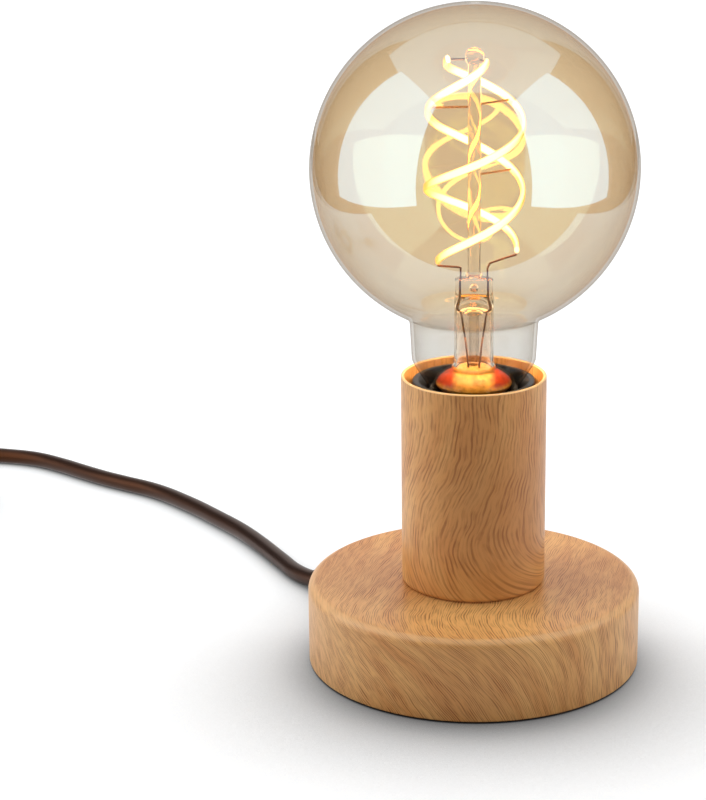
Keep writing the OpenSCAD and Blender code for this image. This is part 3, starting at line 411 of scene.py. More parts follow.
def gold_film():
    """Vacuum-deposited gold film inside the globe, from its middle down to the neck.

    To the eye: the white behind turns amber, lamps show in it as cool grey patches, and it fades
    to clear glass at the neck.
    """
    mat, tree = empty_material("Vacuum-deposited gold film")
    place = add(tree, "TexCoord").outputs["Object"]
    height = add(tree, "SeparateXYZ", {0: place}).outputs["Z"]
    full = {"Value": height, "From Min": FILM_END, "From Max": FILM_TOP}
    full = add(tree, "MapRange", full, interpolation_type="SMOOTHSTEP").outputs["Result"]
    # Film thickness drifts a little over 30 mm
    drift = add(tree, "TexNoise", {"Vector": place, "Scale": 1 / (30 * MM), "Detail": 1.0})
    even = {"Value": drift.outputs["Fac"], "To Min": 0.88, "To Max": 1.0}
    even = add(tree, "MapRange", even).outputs["Result"]
    amount = add(tree, "Math", {0: full, 1: even}, operation="MULTIPLY").outputs[0]
    deep = {0: facing_power(tree, 2.0), 6: to_linear(FILM_CLEAR), 7: to_linear(FILM_DEEP)}
    deep = add(tree, "Mix", deep, data_type="RGBA").outputs[2]
    tint = {0: amount, 6: to_linear(NECK_CLEAR), 7: deep}
    tint = add(tree, "Mix", tint, data_type="RGBA").outputs[2]
    share = add(tree, "MapRange", {"Value": amount, "To Min": 0.012, "To Max": FILM_GLEAM})
    half_mirror(tree, tint, share.outputs["Result"], FILM_BACK, 0.03)
    return mat


def thin_glass(name, middle, edge, gleam):
    """Blown soda-lime glass drawn as its two faces.

    To the eye: a little grey, darker where it is seen edge on, and bright in gloss at its rim.
    """
    mat, tree = empty_material(name)
    tint = {0: facing_power(tree, 3.0), 6: to_linear(middle), 7: to_linear(edge)}
    tint = add(tree, "Mix", tint, data_type="RGBA").outputs[2]
    shine = {"Value": facing_power(tree, 5.0), "To Min": 0.006, "To Max": gleam}
    shine = add(tree, "MapRange", shine).outputs["Result"]
    half_mirror(tree, tint, shine, "#FFFFFF", 0.02)
    return mat


def solid_glass():
    """Drawn lead-free glass of stem and rod: solid, so it bends what is seen through it."""
    mat, tree = empty_material("Drawn stem glass")
    place = add(tree, "TexCoord").outputs["Object"]
    wave = add(tree, "TexNoise", {"Vector": place, "Scale": 1 / (4 * MM), "Detail": 1.0})
    bump = {"Height": wave.outputs["Fac"], "Strength": 0.25, "Distance": 0.4 * MM}
    bump = add(tree, "Bump", bump).outputs["Normal"]
    tint = to_linear("#F7EFE6")
    glass = {"Base Color": tint, "Transmission Weight": 1.0, "Roughness": 0.02, "IOR": 1.45}
    glass = add(tree, "BsdfPrincipled", {**glass, "Normal": bump}).outputs[0]
    # Light on its way to what lies behind passes straight through
    passing = add(tree, "LightPath").outputs["Is Shadow Ray"]
    clear = add(tree, "BsdfTransparent", {"Color": tint}).outputs[0]
    show(tree, add(tree, "MixShader", {0: passing, 1: glass, 2: clear}).outputs[0])
    return mat


def potting_resin():
    """Cast resin in the stem's flare: orange-red, with painted light in amber down its middle
    and a painted amber highlight at its rim.

    To the eye: it glows like a coal, because the strands shine straight down on it; the neck's
    glow lamp lights it, and the painted amber adds to that.
    """
    mat, tree = empty_material("Cast orange potting resin")
    place = add(tree, "TexCoord").outputs["Object"]
    sideways = add(tree, "SeparateXYZ", {0: place}).outputs["X"]
    flat = add(tree, "VectorMath", {0: place, 1: (1, 1, 0)}, operation="MULTIPLY").outputs[0]
    radius = add(tree, "VectorMath", {0: flat}, operation="LENGTH").outputs["Value"]
    aside = add(tree, "Math", {0: sideways}, operation="ABSOLUTE").outputs[0]
    outside, rim_highlight = (
        add(
            tree, "MapRange", {"Value": value, "From Min": near * MM, "From Max": far * MM}
        ).outputs["Result"]
        for value, near, far in ((aside, 4.6, 6.6), (radius, 10.6, 11.2))
    )
    blots = add(tree, "TexNoise", {"Vector": place, "Scale": 1 / (1.6 * MM), "Detail": 2.0})
    shade = {"Value": blots.outputs["Fac"], "From Min": 0.3, "From Max": 0.7, "To Min": 0.55}
    shade = add(tree, "MapRange", shade).outputs["Result"]
    # Painted light: amber down the middle and at the rim stands in for the strands' light falling
    # there; ember is the resin's own colour
    amber, ember = to_linear("#E4A23A"), to_linear("#B83A0A")
    tone = add(tree, "Mix", {0: outside, 6: amber, 7: ember}, data_type="RGBA").outputs[2]
    tone = add(tree, "Mix", {0: rim_highlight, 6: tone, 7: amber}, data_type="RGBA").outputs[2]
    tone = add(tree, "VectorMath", {0: tone, 3: shade}, operation="SCALE").outputs[0]
    show(tree, add(tree, "BsdfPrincipled", {"Base Color": tone, "Roughness": 0.35}).outputs[0])
    return mat


def lit_strand():
    """Silicone-coated LED strand, lit: white-hot in the middle and yellow at its edges."""
    mat, tree = empty_material("Lit phosphor silicone")
    tone = colours()
    facing = add(tree, "LayerWeight", {"Blend": 0.5}).outputs["Facing"]
    edge = {"Value": facing, "From Min": 0.08, "From Max": 0.75}
    edge = add(tree, "MapRange", edge, interpolation_type="SMOOTHSTEP").outputs["Result"]
    glow = {0: edge, 6: [*tone.strand_light, 1], 7: to_linear("#AD7327")}
    glow = add(tree, "Mix", glow, data_type="RGBA").outputs[2]
    # The camera sees the strands far weaker than they light the lamp and show in its glass, and
    # the bluish mirror of the film shows them amber
    path = add(tree, "LightPath").outputs
    glow = {0: path["Is Glossy Ray"], 6: glow, 7: to_linear("#FF8930")}
    glow = add(tree, "Mix", glow, data_type="RGBA").outputs[2]
    gain = 11.0
    for ray, level in (("Is Glossy Ray", 5.5), ("Is Camera Ray", 1.0)):
        gain = {"Value": path[ray], "To Min": gain, "To Max": level}
        gain = add(tree, "MapRange", gain).outputs["Result"]
    glow = add(tree, "VectorMath", {0: glow, 3: gain}, operation="SCALE").outputs[0]
    silicone = {"Base Color": to_linear("#F2D488"), "Roughness": 0.4, "Emission Color": glow}
    silicone["Emission Strength"] = tone.strand_power
    show(tree, add(tree, "BsdfPrincipled", silicone).outputs[0])
    return mat


def woven_tie():
    """Woven nylon hook-and-loop band: a plain weave, its threads 1 mm apart, and a dull nap."""
    mat, tree = empty_material("Woven nylon band")
    place = add(tree, "TexCoord").outputs["Object"]
    threads = {"Vector": place, "Scale": 1 / (3.1 * MM), "Distortion": 0.6}
    across, along = (
        add(tree, "TexWave", threads, bands_direction=way).outputs["Fac"] for way in "XY"
    )
    weave = add(tree, "Math", {0: across, 1: along}, operation="MULTIPLY").outputs[0]
    tone = {0: weave, 6: to_linear("#0E0E0F"), 7: to_linear("#333235")}
    tone = add(tree, "Mix", tone, data_type="RGBA").outputs[2]
    bump = add(tree, "Bump", {"Height": weave, "Strength": 0.7, "Distance": 0.15 * MM})
    nylon = {"Base Color": tone, "Roughness": 0.85, "Sheen Weight": 0.2}
    nylon["Normal"] = bump.outputs["Normal"]
    show(tree, add(tree, "BsdfPrincipled", nylon).outputs[0])
    return mat


# ---------- cord routes, repeated from the CAD source, in millimetres ----------

HOLE_A = math.radians(135)
HOLE_Z = 8.5
RELIEF_TIP = (72.52, 3.93)
RUN_ROUTE = [
    (-58.3, 60.2, 2.9), (-64, 70.5, 2.8), (-73, 87, 2.8), (-81, 100, 2.8), (-90, 112, 2.8),
    (-103, 128, 2.8), (-117, 142, 2.8), (-129, 150, 2.8), (-138, 156, 2.8), (-147, 163, 2.8),
    (-157, 171, 2.8), (-168, 178, 2.8), (-182, 182, 2.8), (-196, 183.5, 3.4), (-208, 184, 6),
    (-217, 184, 8.4),
]
LEAD_ROUTE = [
    (-290, 183.6, 8.4), (-300, 180.5, 6.6), (-308, 173, 4.8), (-312.5, 162.5, 3.6),
    (-311, 151, 2.8), (-304.5, 140, 2.8), (-293, 128, 2.8), (-282, 117, 3), (-271, 106, 3.6),
]
END_ROUTE = [(-246, 80, 10), (-238, 69.5, 9.4), (-232, 58, 8.4), (-228.5, 46, 7.3)]
SWITCH = (-253, 184, 9)
SWITCH_HALF = 31
PLUG = (-226.5, 36, 6.85)
PLUG_A = math.radians(280)
COIL = (-225, 122)
COIL_A = 225
COIL_LOOPS = 7
COIL_PITCH = 6.4
COIL_INNER = 22.5
COIL_LOW = 4.0
COIL_EASE = 0.12


def at_hole(r, z):
    return (r * math.cos(HOLE_A), r * math.sin(HOLE_A), z)


def coil_point(u):
    """Point of the coil after u loops, from its lower layer's outside to its upper layer's."""
    half = COIL_LOOPS / 2
    r = COIL_INNER + COIL_PITCH * (math.hypot(u - half, COIL_EASE) - COIL_EASE)
    a = math.radians(COIL_A + 360 * u)
    k = min(1, max(0, 2 * (u - half) + 0.5))
    z = COIL_LOW + COIL_PITCH * (1 - math.cos(math.pi * k)) / 2
    return (COIL[0] + r * math.cos(a), COIL[1] + r * math.sin(a), z)


def cord_curve(name, points, body, stands_for, material):
    """A round cord on one smooth spline through its route's points."""
    data = bpy.data.curves.new(name, "CURVE")
    data.dimensions = "3D"
    data.bevel_depth = sizes().cord_d / 2
    data.bevel_resolution = 5
    data.resolution_u = 6
    data.use_fill_caps = True
    spline = data.splines.new("BEZIER")
    spline.bezier_points.add(len(points) - 1)
    for knot, p in zip(spline.bezier_points, in_mm(points)):
        knot.co = p
        knot.handle_left_type = knot.handle_right_type = "AUTO"
    data.materials.append(material)
    piece = bpy.data.objects.new(name, data)
    bpy.context.scene.collection.objects.link(piece)
    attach(piece, body)
    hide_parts(*stands_for)
    return piece


# ---------- operators ----------


class LAMP_OT_camera(Operator):
    """Sets the camera at the photograph's viewpoint"""

    bl_idname = "lamp.camera"
    bl_label = "Camera"

    def execute(self, context):
        pitch, roll, yaw = 0.29702, -0.01284, -0.055
        focal_px, long_side_px = 2291.7, 800
        ahead = Vector(
            (math.sin(yaw) * math.cos(pitch), math.cos(yaw) * math.cos(pitch), -math.sin(pitch))
        )
        side = Vector((math.cos(yaw), -math.sin(yaw), 0))
        up = side.cross(ahead)
        right = math.cos(roll) * side + math.sin(roll) * up
        top = -math.sin(roll) * side + math.cos(roll) * up
        data = bpy.data.cameras.new("photo_view")
        data.sensor_width = 36
        data.lens = focal_px * data.sensor_width / long_side_px
        data.clip_start, data.clip_end = 0.02, 20
        camera = bpy.data.objects.new("photo_view", data)
        turn = Matrix((right, top, -ahead)).transposed().to_4x4()
        camera.matrix_world = Matrix.Translation((0, -649.49 * MM, 280.52 * MM)) @ turn
        context.scene.collection.objects.link(camera)
        context.scene.camera = camera
        return {"FINISHED"}


class LAMP_OT_cords(Operator):
    """Lays the mains cord: from the lamp to the switch, and through the coil to the plug"""

    bl_idname = "lamp.cords"
    bl_label = "Cords"

    def execute(self, context):
        jacket = cord_jacket()
        x, y, z = SWITCH
        run = [
            at_hole(48.5, HOLE_Z),
            at_hole(51.5, HOLE_Z - 0.2),
            at_hole(61.5, 6.2),
            at_hole(*RELIEF_TIP),
            *RUN_ROUTE,
            (x + SWITCH_HALF, y, z),
            (x + SWITCH_HALF - 6, y, z),
        ]
        coil = [coil_point(i / 24) for i in range(COIL_LOOPS * 24 + 1)]
        lead = [
            (x - SWITCH_HALF + 6, y, z),
            (x - SWITCH_HALF, y, z),
            *LEAD_ROUTE,
            (-260.1, 94.9, 4.0),
            *coil,
            (-252.2, 86.9, 10.4),
            *END_ROUTE,
            PLUG,
            (PLUG[0] + 8 * math.cos(PLUG_A), PLUG[1] + 8 * math.sin(PLUG_A), PLUG[2]),
        ]
        first = cord_curve("cord_to_switch", run, "lamp", ["cord_run"], jacket)
        second = cord_curve(
            "cord_to_plug", lead, "lamp", ["cord_lead", "cord_coil", "cord_end"], jacket
        )
        switch = [
            "switch_bottom",
            "switch_top",
            "switch_rocker",
            "rocker_pin",
            "switch_contacts",
            "switch_screws",
        ]
        dress(["cord_inner", "cord_bushing"], jacket)
        # What lies past the edge of the picture doesn't show in the globe either
        far = [NODES[n] for n in ["cord_tie", "plug_body", "plug_pins", *switch]]
        for piece in (first, second, *far):
            piece.visible_glossy = False
        return {"FINISHED"}


def grain_of_base(x, y, z):
    """Drawing of the base's grain: (across, along) in millimetres, strokes run along.

    On the top the strokes run front to back, leaning right behind and left near the front edge;
    down the wall they slant to the right, and stand upright at its right end.
    """
    round_wall = 51 * math.asin(max(-1, min(1, x / 51)))
    bend = 0.02 * y + 0.33 * 8 * math.log(math.cosh((y + 32) / 8))
    slant = 1.2 / (1 + math.exp((x - 27) / 8))
    down = max(0.0, 25.4 - z)
    fall = 0.7 * down + 6 * (1 - math.exp(-down / 6))
    return 1.1 * (round_wall - bend) - slant * fall, y + z


def grain_of_sleeve(x, y, z):
    """Drawing of the sleeve's grain, mirrored at its back, with a cathedral low on the right."""
    radius = 21.5
    turn = math.atan2(x, -y)
    s = radius * turn
    quarter = radius * math.pi / 2
    if abs(s) > quarter:
        s = math.copysign(2 * quarter - abs(s), s)
    below = max(0.0, 46 - z) * 1.25
    ring = -math.hypot(s - 34.5, below)
    sway = 6.5 * math.tanh((z - 60) / 12) / (1 + math.exp((s - 12) / 5))
    return 0.85 * (ring - sway), z + 0.2 * s


def paint_grain(piece, drawing, seed):
    """Stores the grain's drawing on the mesh, in millimetres."""
    mesh = piece.data
    layer = mesh.attributes.new("grain", "FLOAT_VECTOR", "POINT")
    values = []
    for v in mesh.vertices:
        x, y, z = (c / MM for c in v.co)
        values += [*drawing(x, y, z), seed]
    layer.data.foreach_set("vector", values)


class LAMP_OT_base(Operator):
    """Turns the printed steel base and cuts the cord's hole in its wall"""

    bl_idname = "lamp.base"
    bl_label = "Base"

    def execute(self, context):
        r, top, rim = BASE_R / MM, BASE_TOP / MM, BASE_LOW / MM
        wall, edge, hole = 1.2, 3.0, 5.3
        mid = r - edge
        profile = [
            *line((hole, top), (mid, top), 34),
            *arc(mid, top - edge, edge, 90, 0, 12),
            *line((r, top - edge - 0.6), (r, rim + 0.3), 20),
            (r, rim + 0.3),
            (r - 0.2, rim),
            (r - wall + 0.2, rim),
            (r - wall, rim + 0.3),
            *arc(mid, top - edge, edge - wall, 0, 90, 8),
            (hole, top - wall),
        ]
        verts, faces = spin(in_mm(profile), 288)
        piece = mesh_object(
            "base_pan", verts, faces, "lamp", ["base_shell"], smooth=0
        )
        bpy.ops.mesh.primitive_cylinder_add(
            vertices=64,
            radius=4.0 * MM,
            depth=16 * MM,
            location=in_mm([at_hole(r - 1, HOLE_Z)])[0],
            rotation=(0, math.radians(90), HOLE_A),
        )
        cutter = context.object
        cut = piece.modifiers.new("cord_hole", "BOOLEAN")
        cut.object = cutter
        cut.solver = "EXACT"
        context.view_layer.objects.active = piece
        bpy.ops.object.modifier_apply(modifier=cut.name)
        bpy.data.objects.remove(cutter)
        piece.data.set_sharp_from_angle(angle=math.radians(32))
        paint_grain(piece, grain_of_base, 3.0)
        piece.data.materials.clear()
        # Painted light and shade, not print: a golden pool of painted light on the top's front,
        # painted shade on the wall's front middle and on the top's left and right, painted light on
        # the wall's sides
        patches = [
            ((2, -34, 25.4), 30, "#F0BE78", 0.8),
            ((0, -50, 13), 24, "#B0672C", 0.34),
            ((-46, -20, 13), 36, "#E8BA80", 0.5),
            ((46, -20, 13), 36, "#E6B87E", 0.35),
            ((-36, 8, 25.4), 32, "#BE8A58", 0.6),
            ((38, 6, 25.4), 30, "#B88350", 0.6),
        ]
        # Radius and height (mm) of the painted highlight along the top's pressed edge
        highlight_line = (r - 1.3, top - 0.7)
        piece.data.materials.append(
            printed_oak("Oak print on pressed steel", 0.85, 0.88, patches, highlight_line)
        )
        return {"FINISHED"}


class LAMP_OT_sleeve(Operator):
    """Turns the printed steel sleeve with its rolled lip"""

    bl_idname = "lamp.sleeve"
    bl_label = "Sleeve"

    def execute(self, context):
        r, top, foot = SLEEVE_R / MM, SLEEVE_TOP / MM, BASE_TOP / MM
        wall, corner, hole = 1.0, 1.5, 5.3
        lip = wall / 2
        profile = [
            *line((hole, foot), (r - corner, foot), 6),
            *arc(r - corner, foot + corner, corner, 270, 360, 8),
            *line((r, foot + corner + 0.6), (r, top - lip), 60),
            *arc(r - lip, top - lip, lip, 0, 180, 12),
            *line((r - wall, top - lip - 0.6), (r - wall, foot + corner), 50),
            *arc(r - corner, foot + corner, corner - wall, 360, 270, 5),
            *line((r - corner - 0.3, foot + wall), (hole, foot + wall), 6),
            (hole, foot + wall),
        ]
        # Painted shade: reddish-brown patches darken the sleeve's front and front right, which the
        # side lamps light least
        patches = [
            ((6, -20, 62), 34, "#B4743A", 0.45),
            ((16, -14, 50), 30, "#B87B42", 0.5),
            ((0, -21, 30), 20, "#B97736", 0.3),
        ]
        # The rolled lip's crown is cream, not printed: a painted highlight where the lip catches
        # the light
        finishes = [
            printed_oak("Oak print on drawn steel", 1.2, 0.68, patches),
            moulded("Cream painted lip highlight", "#F0CB94", "#E9C086", 0.38, 0.8, 0.01),
        ]
        # Depth of the painted highlight at the lip's crown, in mm
        bare = 0.42
        verts, faces = spin(in_mm(profile), 256)
        piece = mesh_object(
            "sleeve_cup", verts, faces, "lamp", ["sleeve_tube"], finishes
        )
        paint_grain(piece, grain_of_sleeve, 11.0)
        for face in piece.data.polygons:
            face.material_index = int(face.center.z > SLEEVE_TOP - bare * MM)
        return {"FINISHED"}


class LAMP_OT_fixing(Operator):
    """Gives the base's inside, its underside and the nipple their finishes"""

    bl_idname = "lamp.fixing"
    bl_label = "Fixing"

    def execute(self, context):
        dress(["weight_disc"], plated("Phosphated steel", "#3A3A3D", "#2C2C2F", 0.55))
        zinc = plated("Zinc-plated steel", "#C3C6C9", "#AEB1B4", 0.32)
        dress(
            [
                "bottom_plate",
                "plate_screws",
                "nipple",
                "nipple_washers",
                "clamp_screws",
                "terminal_screws",
                "lock_screw",
                "rocker_pin",
                "switch_screws",
            ],
            zinc,
        )
        dress(
            ["pillars", "nipple_nuts", "centre_contact", "side_contact", "terminals",
             "switch_contacts", "screw_shell"],
            plated("Turned brass", "#D2A85C", "#BD914A", 0.28),
        )
        dress(
            ["foot_pad"],
            moulded("Closed-cell EVA foam", "#1B1B1C", "#242425", 0.9, 0.8, 0.25, 1.4),
        )
        dress(
            ["clamp_block", "clamp_bridge"],
            moulded("Moulded black nylon", "#19191A", "#202021", 0.5, 0.5, 0.04),
        )
        dress(["wire_brown"], moulded("Brown core insulation", "#5E3418", "#6B3D1E", 0.4))
        dress(["wire_blue"], moulded("Blue core insulation", "#1D4E9E", "#2359AC", 0.4))
        dress(
            ["holder_insert"],
            moulded("Unglazed steatite", "#DAD5C8", "#C9C3B4", 0.7, 0.3, 0.03, 1.6),
        )
        return {"FINISHED"}


class LAMP_OT_holder(Operator):
    """Turns the black lampholder's rim, with its lead-in for the cap"""

    bl_idname = "lamp.holder"
    bl_label = "Lampholder"

    def execute(self, context):
        phenolic = moulded("Pressed black phenolic", "#0C0C0D", "#121213", 0.34, 1.2, 0.03, 1.3)
        top = HOLDER_TOP / MM
        outer = high("holder_skirt").x / MM
        foot = low("holder_skirt").z / MM
        profile = [
            (outer - 2.0, foot),
            (outer - 0.3, foot),
            (outer, foot + 0.3),
            *line((outer, foot + 2), (outer, top - 0.8), 12),
            *arc(outer - 0.8, top - 0.8, 0.8, 0, 90, 6),
            (outer - 1.9, top),
            (outer - 2.2, top - 0.2),
            (14.5, top - 2.2),
            (14.25, top - 2.6),
            (14.25, top - 3.8),
            (14.75, top - 4.0),
            (14.75, 60.2),
            (outer - 2.0, 60.2),
        ]
        verts, faces = spin(in_mm(profile), 160)
        mesh_object(
            "holder_collar", verts, faces, "lamp", ["holder_skirt"], [phenolic]
        )
        dress(["holder_cap"], phenolic)
        return {"FINISHED"}


def bulb_profile(t):
    """Half outline of the bulb's glass drawn in by t millimetres, from its top to its lower end."""
    r, z0 = sizes().globe_r / MM, GLOBE_Z / MM
    neck, fillet = 18.8, 4.0
    fx = neck + fillet
    fz = z0 - math.sqrt((r + fillet) ** 2 - fx**2)
    meet = math.degrees(math.asin((z0 - fz) / (r + fillet)))
    cap = CAP_TOP / MM
    globe = arc(0, z0, r - t, 90, -meet, 90)
    corner = arc(fx, fz, fillet + t, 180 - meet, 180, 10)
    below = [
        (neck - 0.2 - t, fz - 3.5),
        (neck - 0.5 - t, cap + 9.8),
        (neck - 0.62 - t, cap + 8.9),
        (neck - 0.95 - t, cap + 8.1),
        (neck - 1.5 - t, cap + 7.0),
        (13.2 - t, cap + 0.6),
        (12.75 - t, cap + 0.2),
        (11.6 - t, cap),
        (11.6 - t, cap - 7.4),
    ]
    return globe, corner + below


class LAMP_OT_globe(Operator):
    """Blows the globe: two faces of glass, the inner one with the gold film"""

    bl_idname = "lamp.globe"
    bl_label = "Globe"

    def execute(self, context):
        t = sizes().glass_t / MM
        out_globe, out_low = bulb_profile(0)
        in_globe, in_low = bulb_profile(t)
        outer = out_globe[1:] + out_low[1:]
        inner = in_globe[1:] + in_low[1:]
        segments = 192
        profile = outer + inner[::-1]
        verts, faces = spin(in_mm(profile), segments, closed=False)
        for tip, ring, flip in (
            (out_globe[0], 0, False),
            (in_globe[0], len(profile) - 1, True),
        ):
            verts.append((0, 0, tip[1] * MM))
            centre = len(verts) - 1
            for i in range(segments):
                a, b = ring * segments + i, ring * segments + (i + 1) % segments
                faces.append((centre, b, a) if flip else (centre, a, b))
        finishes = [thin_glass("Blown soda-lime glass", "#FBFAF9", "#A89C8C", 0.30), gold_film()]
        piece = mesh_object(
            "globe_glass", verts, faces, "bulb", ["glass_envelope"], finishes, 0
        )
        mesh = piece.data
        # The inner face's middle lies nearer the globe's centre or the axis than the outer's
        first_inner = (len(outer) - 1) * segments
        inner_faces = len(faces) - 2 * segments
        for f in mesh.polygons:
            is_inner = first_inner <= f.index < inner_faces or f.index >= inner_faces + segments
            f.material_index = 1 if is_inner else 0
        return {"FINISHED"}


def strand_path(turn, turns, r_top, r_low, lift, steps=150):
    """Centreline of a strand, from its lower end, in millimetres."""
    waist, height, peak = 14.0, 57.5, 1.8
    z0 = PRESS_TOP / MM + 3.9
    points = []
    for i in range(steps + 1):
        s = i / steps
        near_low = max(0.0, (0.22 - s) / 0.22)
        near_top = max(0.0, (s - 0.64) / 0.36)
        r = waist - (waist - r_low) * near_low**2 - (waist - r_top) * near_top**2
        a = math.radians(turn - 360 * turns * (1 - s))
        z = z0 + lift * (1 - s) + height * s + peak * math.sin(math.pi * near_top)
        points.append(Vector((r * math.cos(a), r * math.sin(a), z)))
    return points


STRANDS = {"a": (-55, 1.28, 6.0, 11.5, 0.0), "b": (180, 1.49, 7.6, 12.4, 2.0)}


def sweep(path, outline, axis):
    """Vertices and faces of an outline of (sideways, upwards) carried along a path."""
    n, m = len(path), len(outline)
    verts = []
    for i, p in enumerate(path):
        t = (path[min(i + 1, n - 1)] - path[max(i - 1, 0)]).normalized()
        side = t.cross(axis).normalized()
        up = side.cross(t)
        verts += [p + side * o[0] + up * o[1] for o in outline]
    faces = ring_faces(n, m, closed=False)
    faces.append(tuple(range(m))[::-1])
    faces.append(tuple((n - 1) * m + k for k in range(m)))
    return [v * MM for v in verts], faces


def rounded_strip(w, t, n=4):
    """Outline of a strip with half-round edges."""
    r = t / 2
    return arc(0, w / 2 - r, r, 0, 180, 2 * n) + arc(0, -w / 2 + r, r, 180, 360, 2 * n)


def blown_stem():
    """Vertices and faces of the stem, in one glass: flare, tube, press with a bubble, and rod."""
    press, cap = PRESS_TOP / MM, CAP_TOP / MM
    rod = high("glass_rod").x / MM - 0.9
    # Height, half width, half depth and how square it is
    outside = [
        (cap - 6.4, 10.4, 10.4, 2), (cap - 0.4, 10.4, 10.4, 2), (cap + 0.1, 11.3, 11.3, 2),
        (cap + 0.7, 11.95, 11.95, 2), (cap + 1.6, 12.3, 12.3, 2), (cap + 2.8, 11.8, 11.8, 2),
        (cap + 4.2, 10.1, 10.1, 2), (cap + 5.5, 8.0, 8.0, 2), (cap + 6.5, 6.5, 6.5, 2),
        (cap + 7.7, 5.8, 5.8, 2), (press - 16.0, 5.75, 5.75, 2), (press - 12.0, 5.75, 5.75, 2),
        (press - 10.8, 5.8, 5.3, 2.1), (press - 9.6, 5.8, 4.3, 2.4), (press - 8.4, 5.7, 3.2, 3),
        (press - 7.4, 5.6, 2.6, 3.5), (press - 6.2, 5.5, 2.35, 4), (press - 3.6, 5.5, 2.3, 4),
        (press - 2.9, 5.6, 2.4, 4), (press - 2.5, 5.4, 2.2, 3.6), (press - 2.25, 4.9, 1.8, 3),
        (press - 2.1, 2.6, 1.5, 2), (press - 1.4, rod + 0.5, rod + 0.4, 2),
        (press - 0.6, rod + 0.1, rod + 0.1, 2), (press, rod, rod, 2),
    ]
    button, rod_top = rod + 0.9, high("glass_rod").z / MM - rod - 0.9
    for i in range(10):
        a = math.asin(rod / button) + (math.pi - math.asin(rod / button)) * i / 10
        r = button * math.sin(a)
        outside.append((rod_top - button * math.cos(a), r, r, 2))
    inside = [
        (press - 11.1, 1.6, 1.6, 2), (press - 11.3, 3.2, 3.0, 2), (press - 12.0, 4.6, 4.4, 2),
        (press - 13.2, 4.95, 4.95, 2), (cap + 7.7, 4.95, 4.95, 2), (cap + 6.5, 5.5, 5.5, 2),
        (cap + 5.5, 7.1, 7.1, 2), (cap + 4.2, 9.3, 9.3, 2), (cap + 2.8, 11.0, 11.0, 2),
        (cap + 1.6, 11.5, 11.5, 2), (cap + 0.7, 11.1, 11.1, 2), (cap + 0.1, 10.5, 10.5, 2),
        (cap - 0.4, 9.7, 9.7, 2), (cap - 6.4, 9.7, 9.7, 2),
    ]
    segments = 64
    verts, faces = [], []

    def loft(rows):
        start = len(verts)
        for z, half_x, half_y, square in rows:
            for i in range(segments):
                c, d = math.cos(2 * math.pi * i / segments), math.sin(2 * math.pi * i / segments)
                x = half_x * math.copysign(abs(c) ** (2 / square), c)
                y = half_y * math.copysign(abs(d) ** (2 / square), d)
                verts.append((x * MM, y * MM, z * MM))
        faces.extend(ring_faces(len(rows), segments, start, closed=False))
        return start, start + (len(rows) - 1) * segments

    def close(ring, z, turned):
        verts.append((0, 0, z * MM))
        tip = len(verts) - 1
        for i in range(segments):
            k = (i + 1) % segments
            faces.append((ring + k, ring + i, tip) if turned else (ring + i, ring + k, tip))

    foot, tip = loft(outside)
    close(tip, rod_top + button, False)
    roof, brim = loft(inside)
    close(roof, press - 11.0, True)
    for i in range(segments):
        k = (i + 1) % segments
        faces.append((brim + i, brim + k, foot + k, foot + i))
    # Bubble in the press, its faces turned inwards
    bubble, middle = 1.35, press - 5.2
    rings = [
        (middle + bubble * math.cos(math.radians(a)), bubble * math.sin(math.radians(a)))
        for a in range(15, 180, 15)
    ]
    first, last = loft([(z, r, r * 0.85, 2) for z, r in rings])
    close(first, middle + bubble, True)
    close(last, middle - bubble, False)
    return verts, faces


class LAMP_OT_filament(Operator):
    """Winds the two lit strands, and makes their wires, the stem with its rod, and the resin"""

    bl_idname = "lamp.filament"
    bl_label = "Filament"

    def execute(self, context):
        lit = lit_strand()
        up = Vector((0, 0, 1))
        width = sizes().strand_w / MM
        for letter, shape in STRANDS.items():
            verts, faces = sweep(strand_path(*shape), rounded_strip(width, 1.4), up)
            nodes = ["filament_" + letter]
            mesh_object("strand_" + letter, verts, faces, "bulb", nodes, [lit], 50)
        for wires, name, code, second in (
            ("support_wires", "Oxidised nickel wire", "#7E6240", "#5F472C"),
            ("lead_wires", "Oxidised copper-clad wire", "#6E4526", "#52301A"),
        ):
            dress([wires], plated(name, code, second, 0.5, metallic=0.25))
        thin = thin_glass("Thin drawn tube glass", "#FAF9F7", "#A79B8E", 0.2)
        verts, faces = blown_stem()
        nodes, glasses = ["stem_glass", "glass_rod"], [solid_glass(), thin]
        stem = mesh_object("blown_stem", verts, faces, "bulb", nodes, glasses, 40)
        # The flare is too thin to bend what is seen through it
        flare = 7.0
        for face in stem.data.polygons:
            face.material_index = int(face.center.z < CAP_TOP + flare * MM)
        dress(["exhaust_tube"], thin)
        dress(["driver_board"], moulded("Green solder mask", "#1C4A2C", "#235635", 0.4))
        cap = CAP_TOP / MM
        profile = [
            (1.6, cap + 6.9), (3.4, cap + 6.8), (4.8, cap + 6.4), (6.7, cap + 5.5),
            (8.9, cap + 4.2), (10.6, cap + 2.8), (11.2, cap + 1.6), (10.9, cap + 0.7),
            (9.5, cap - 0.4), (9.5, cap - 2.0), (1.6, cap - 2.0),
        ]
        verts, faces = spin(in_mm(profile), 96)
        mesh_object("cap_resin", verts, faces, "bulb", (), [potting_resin()])
        return {"FINISHED"}


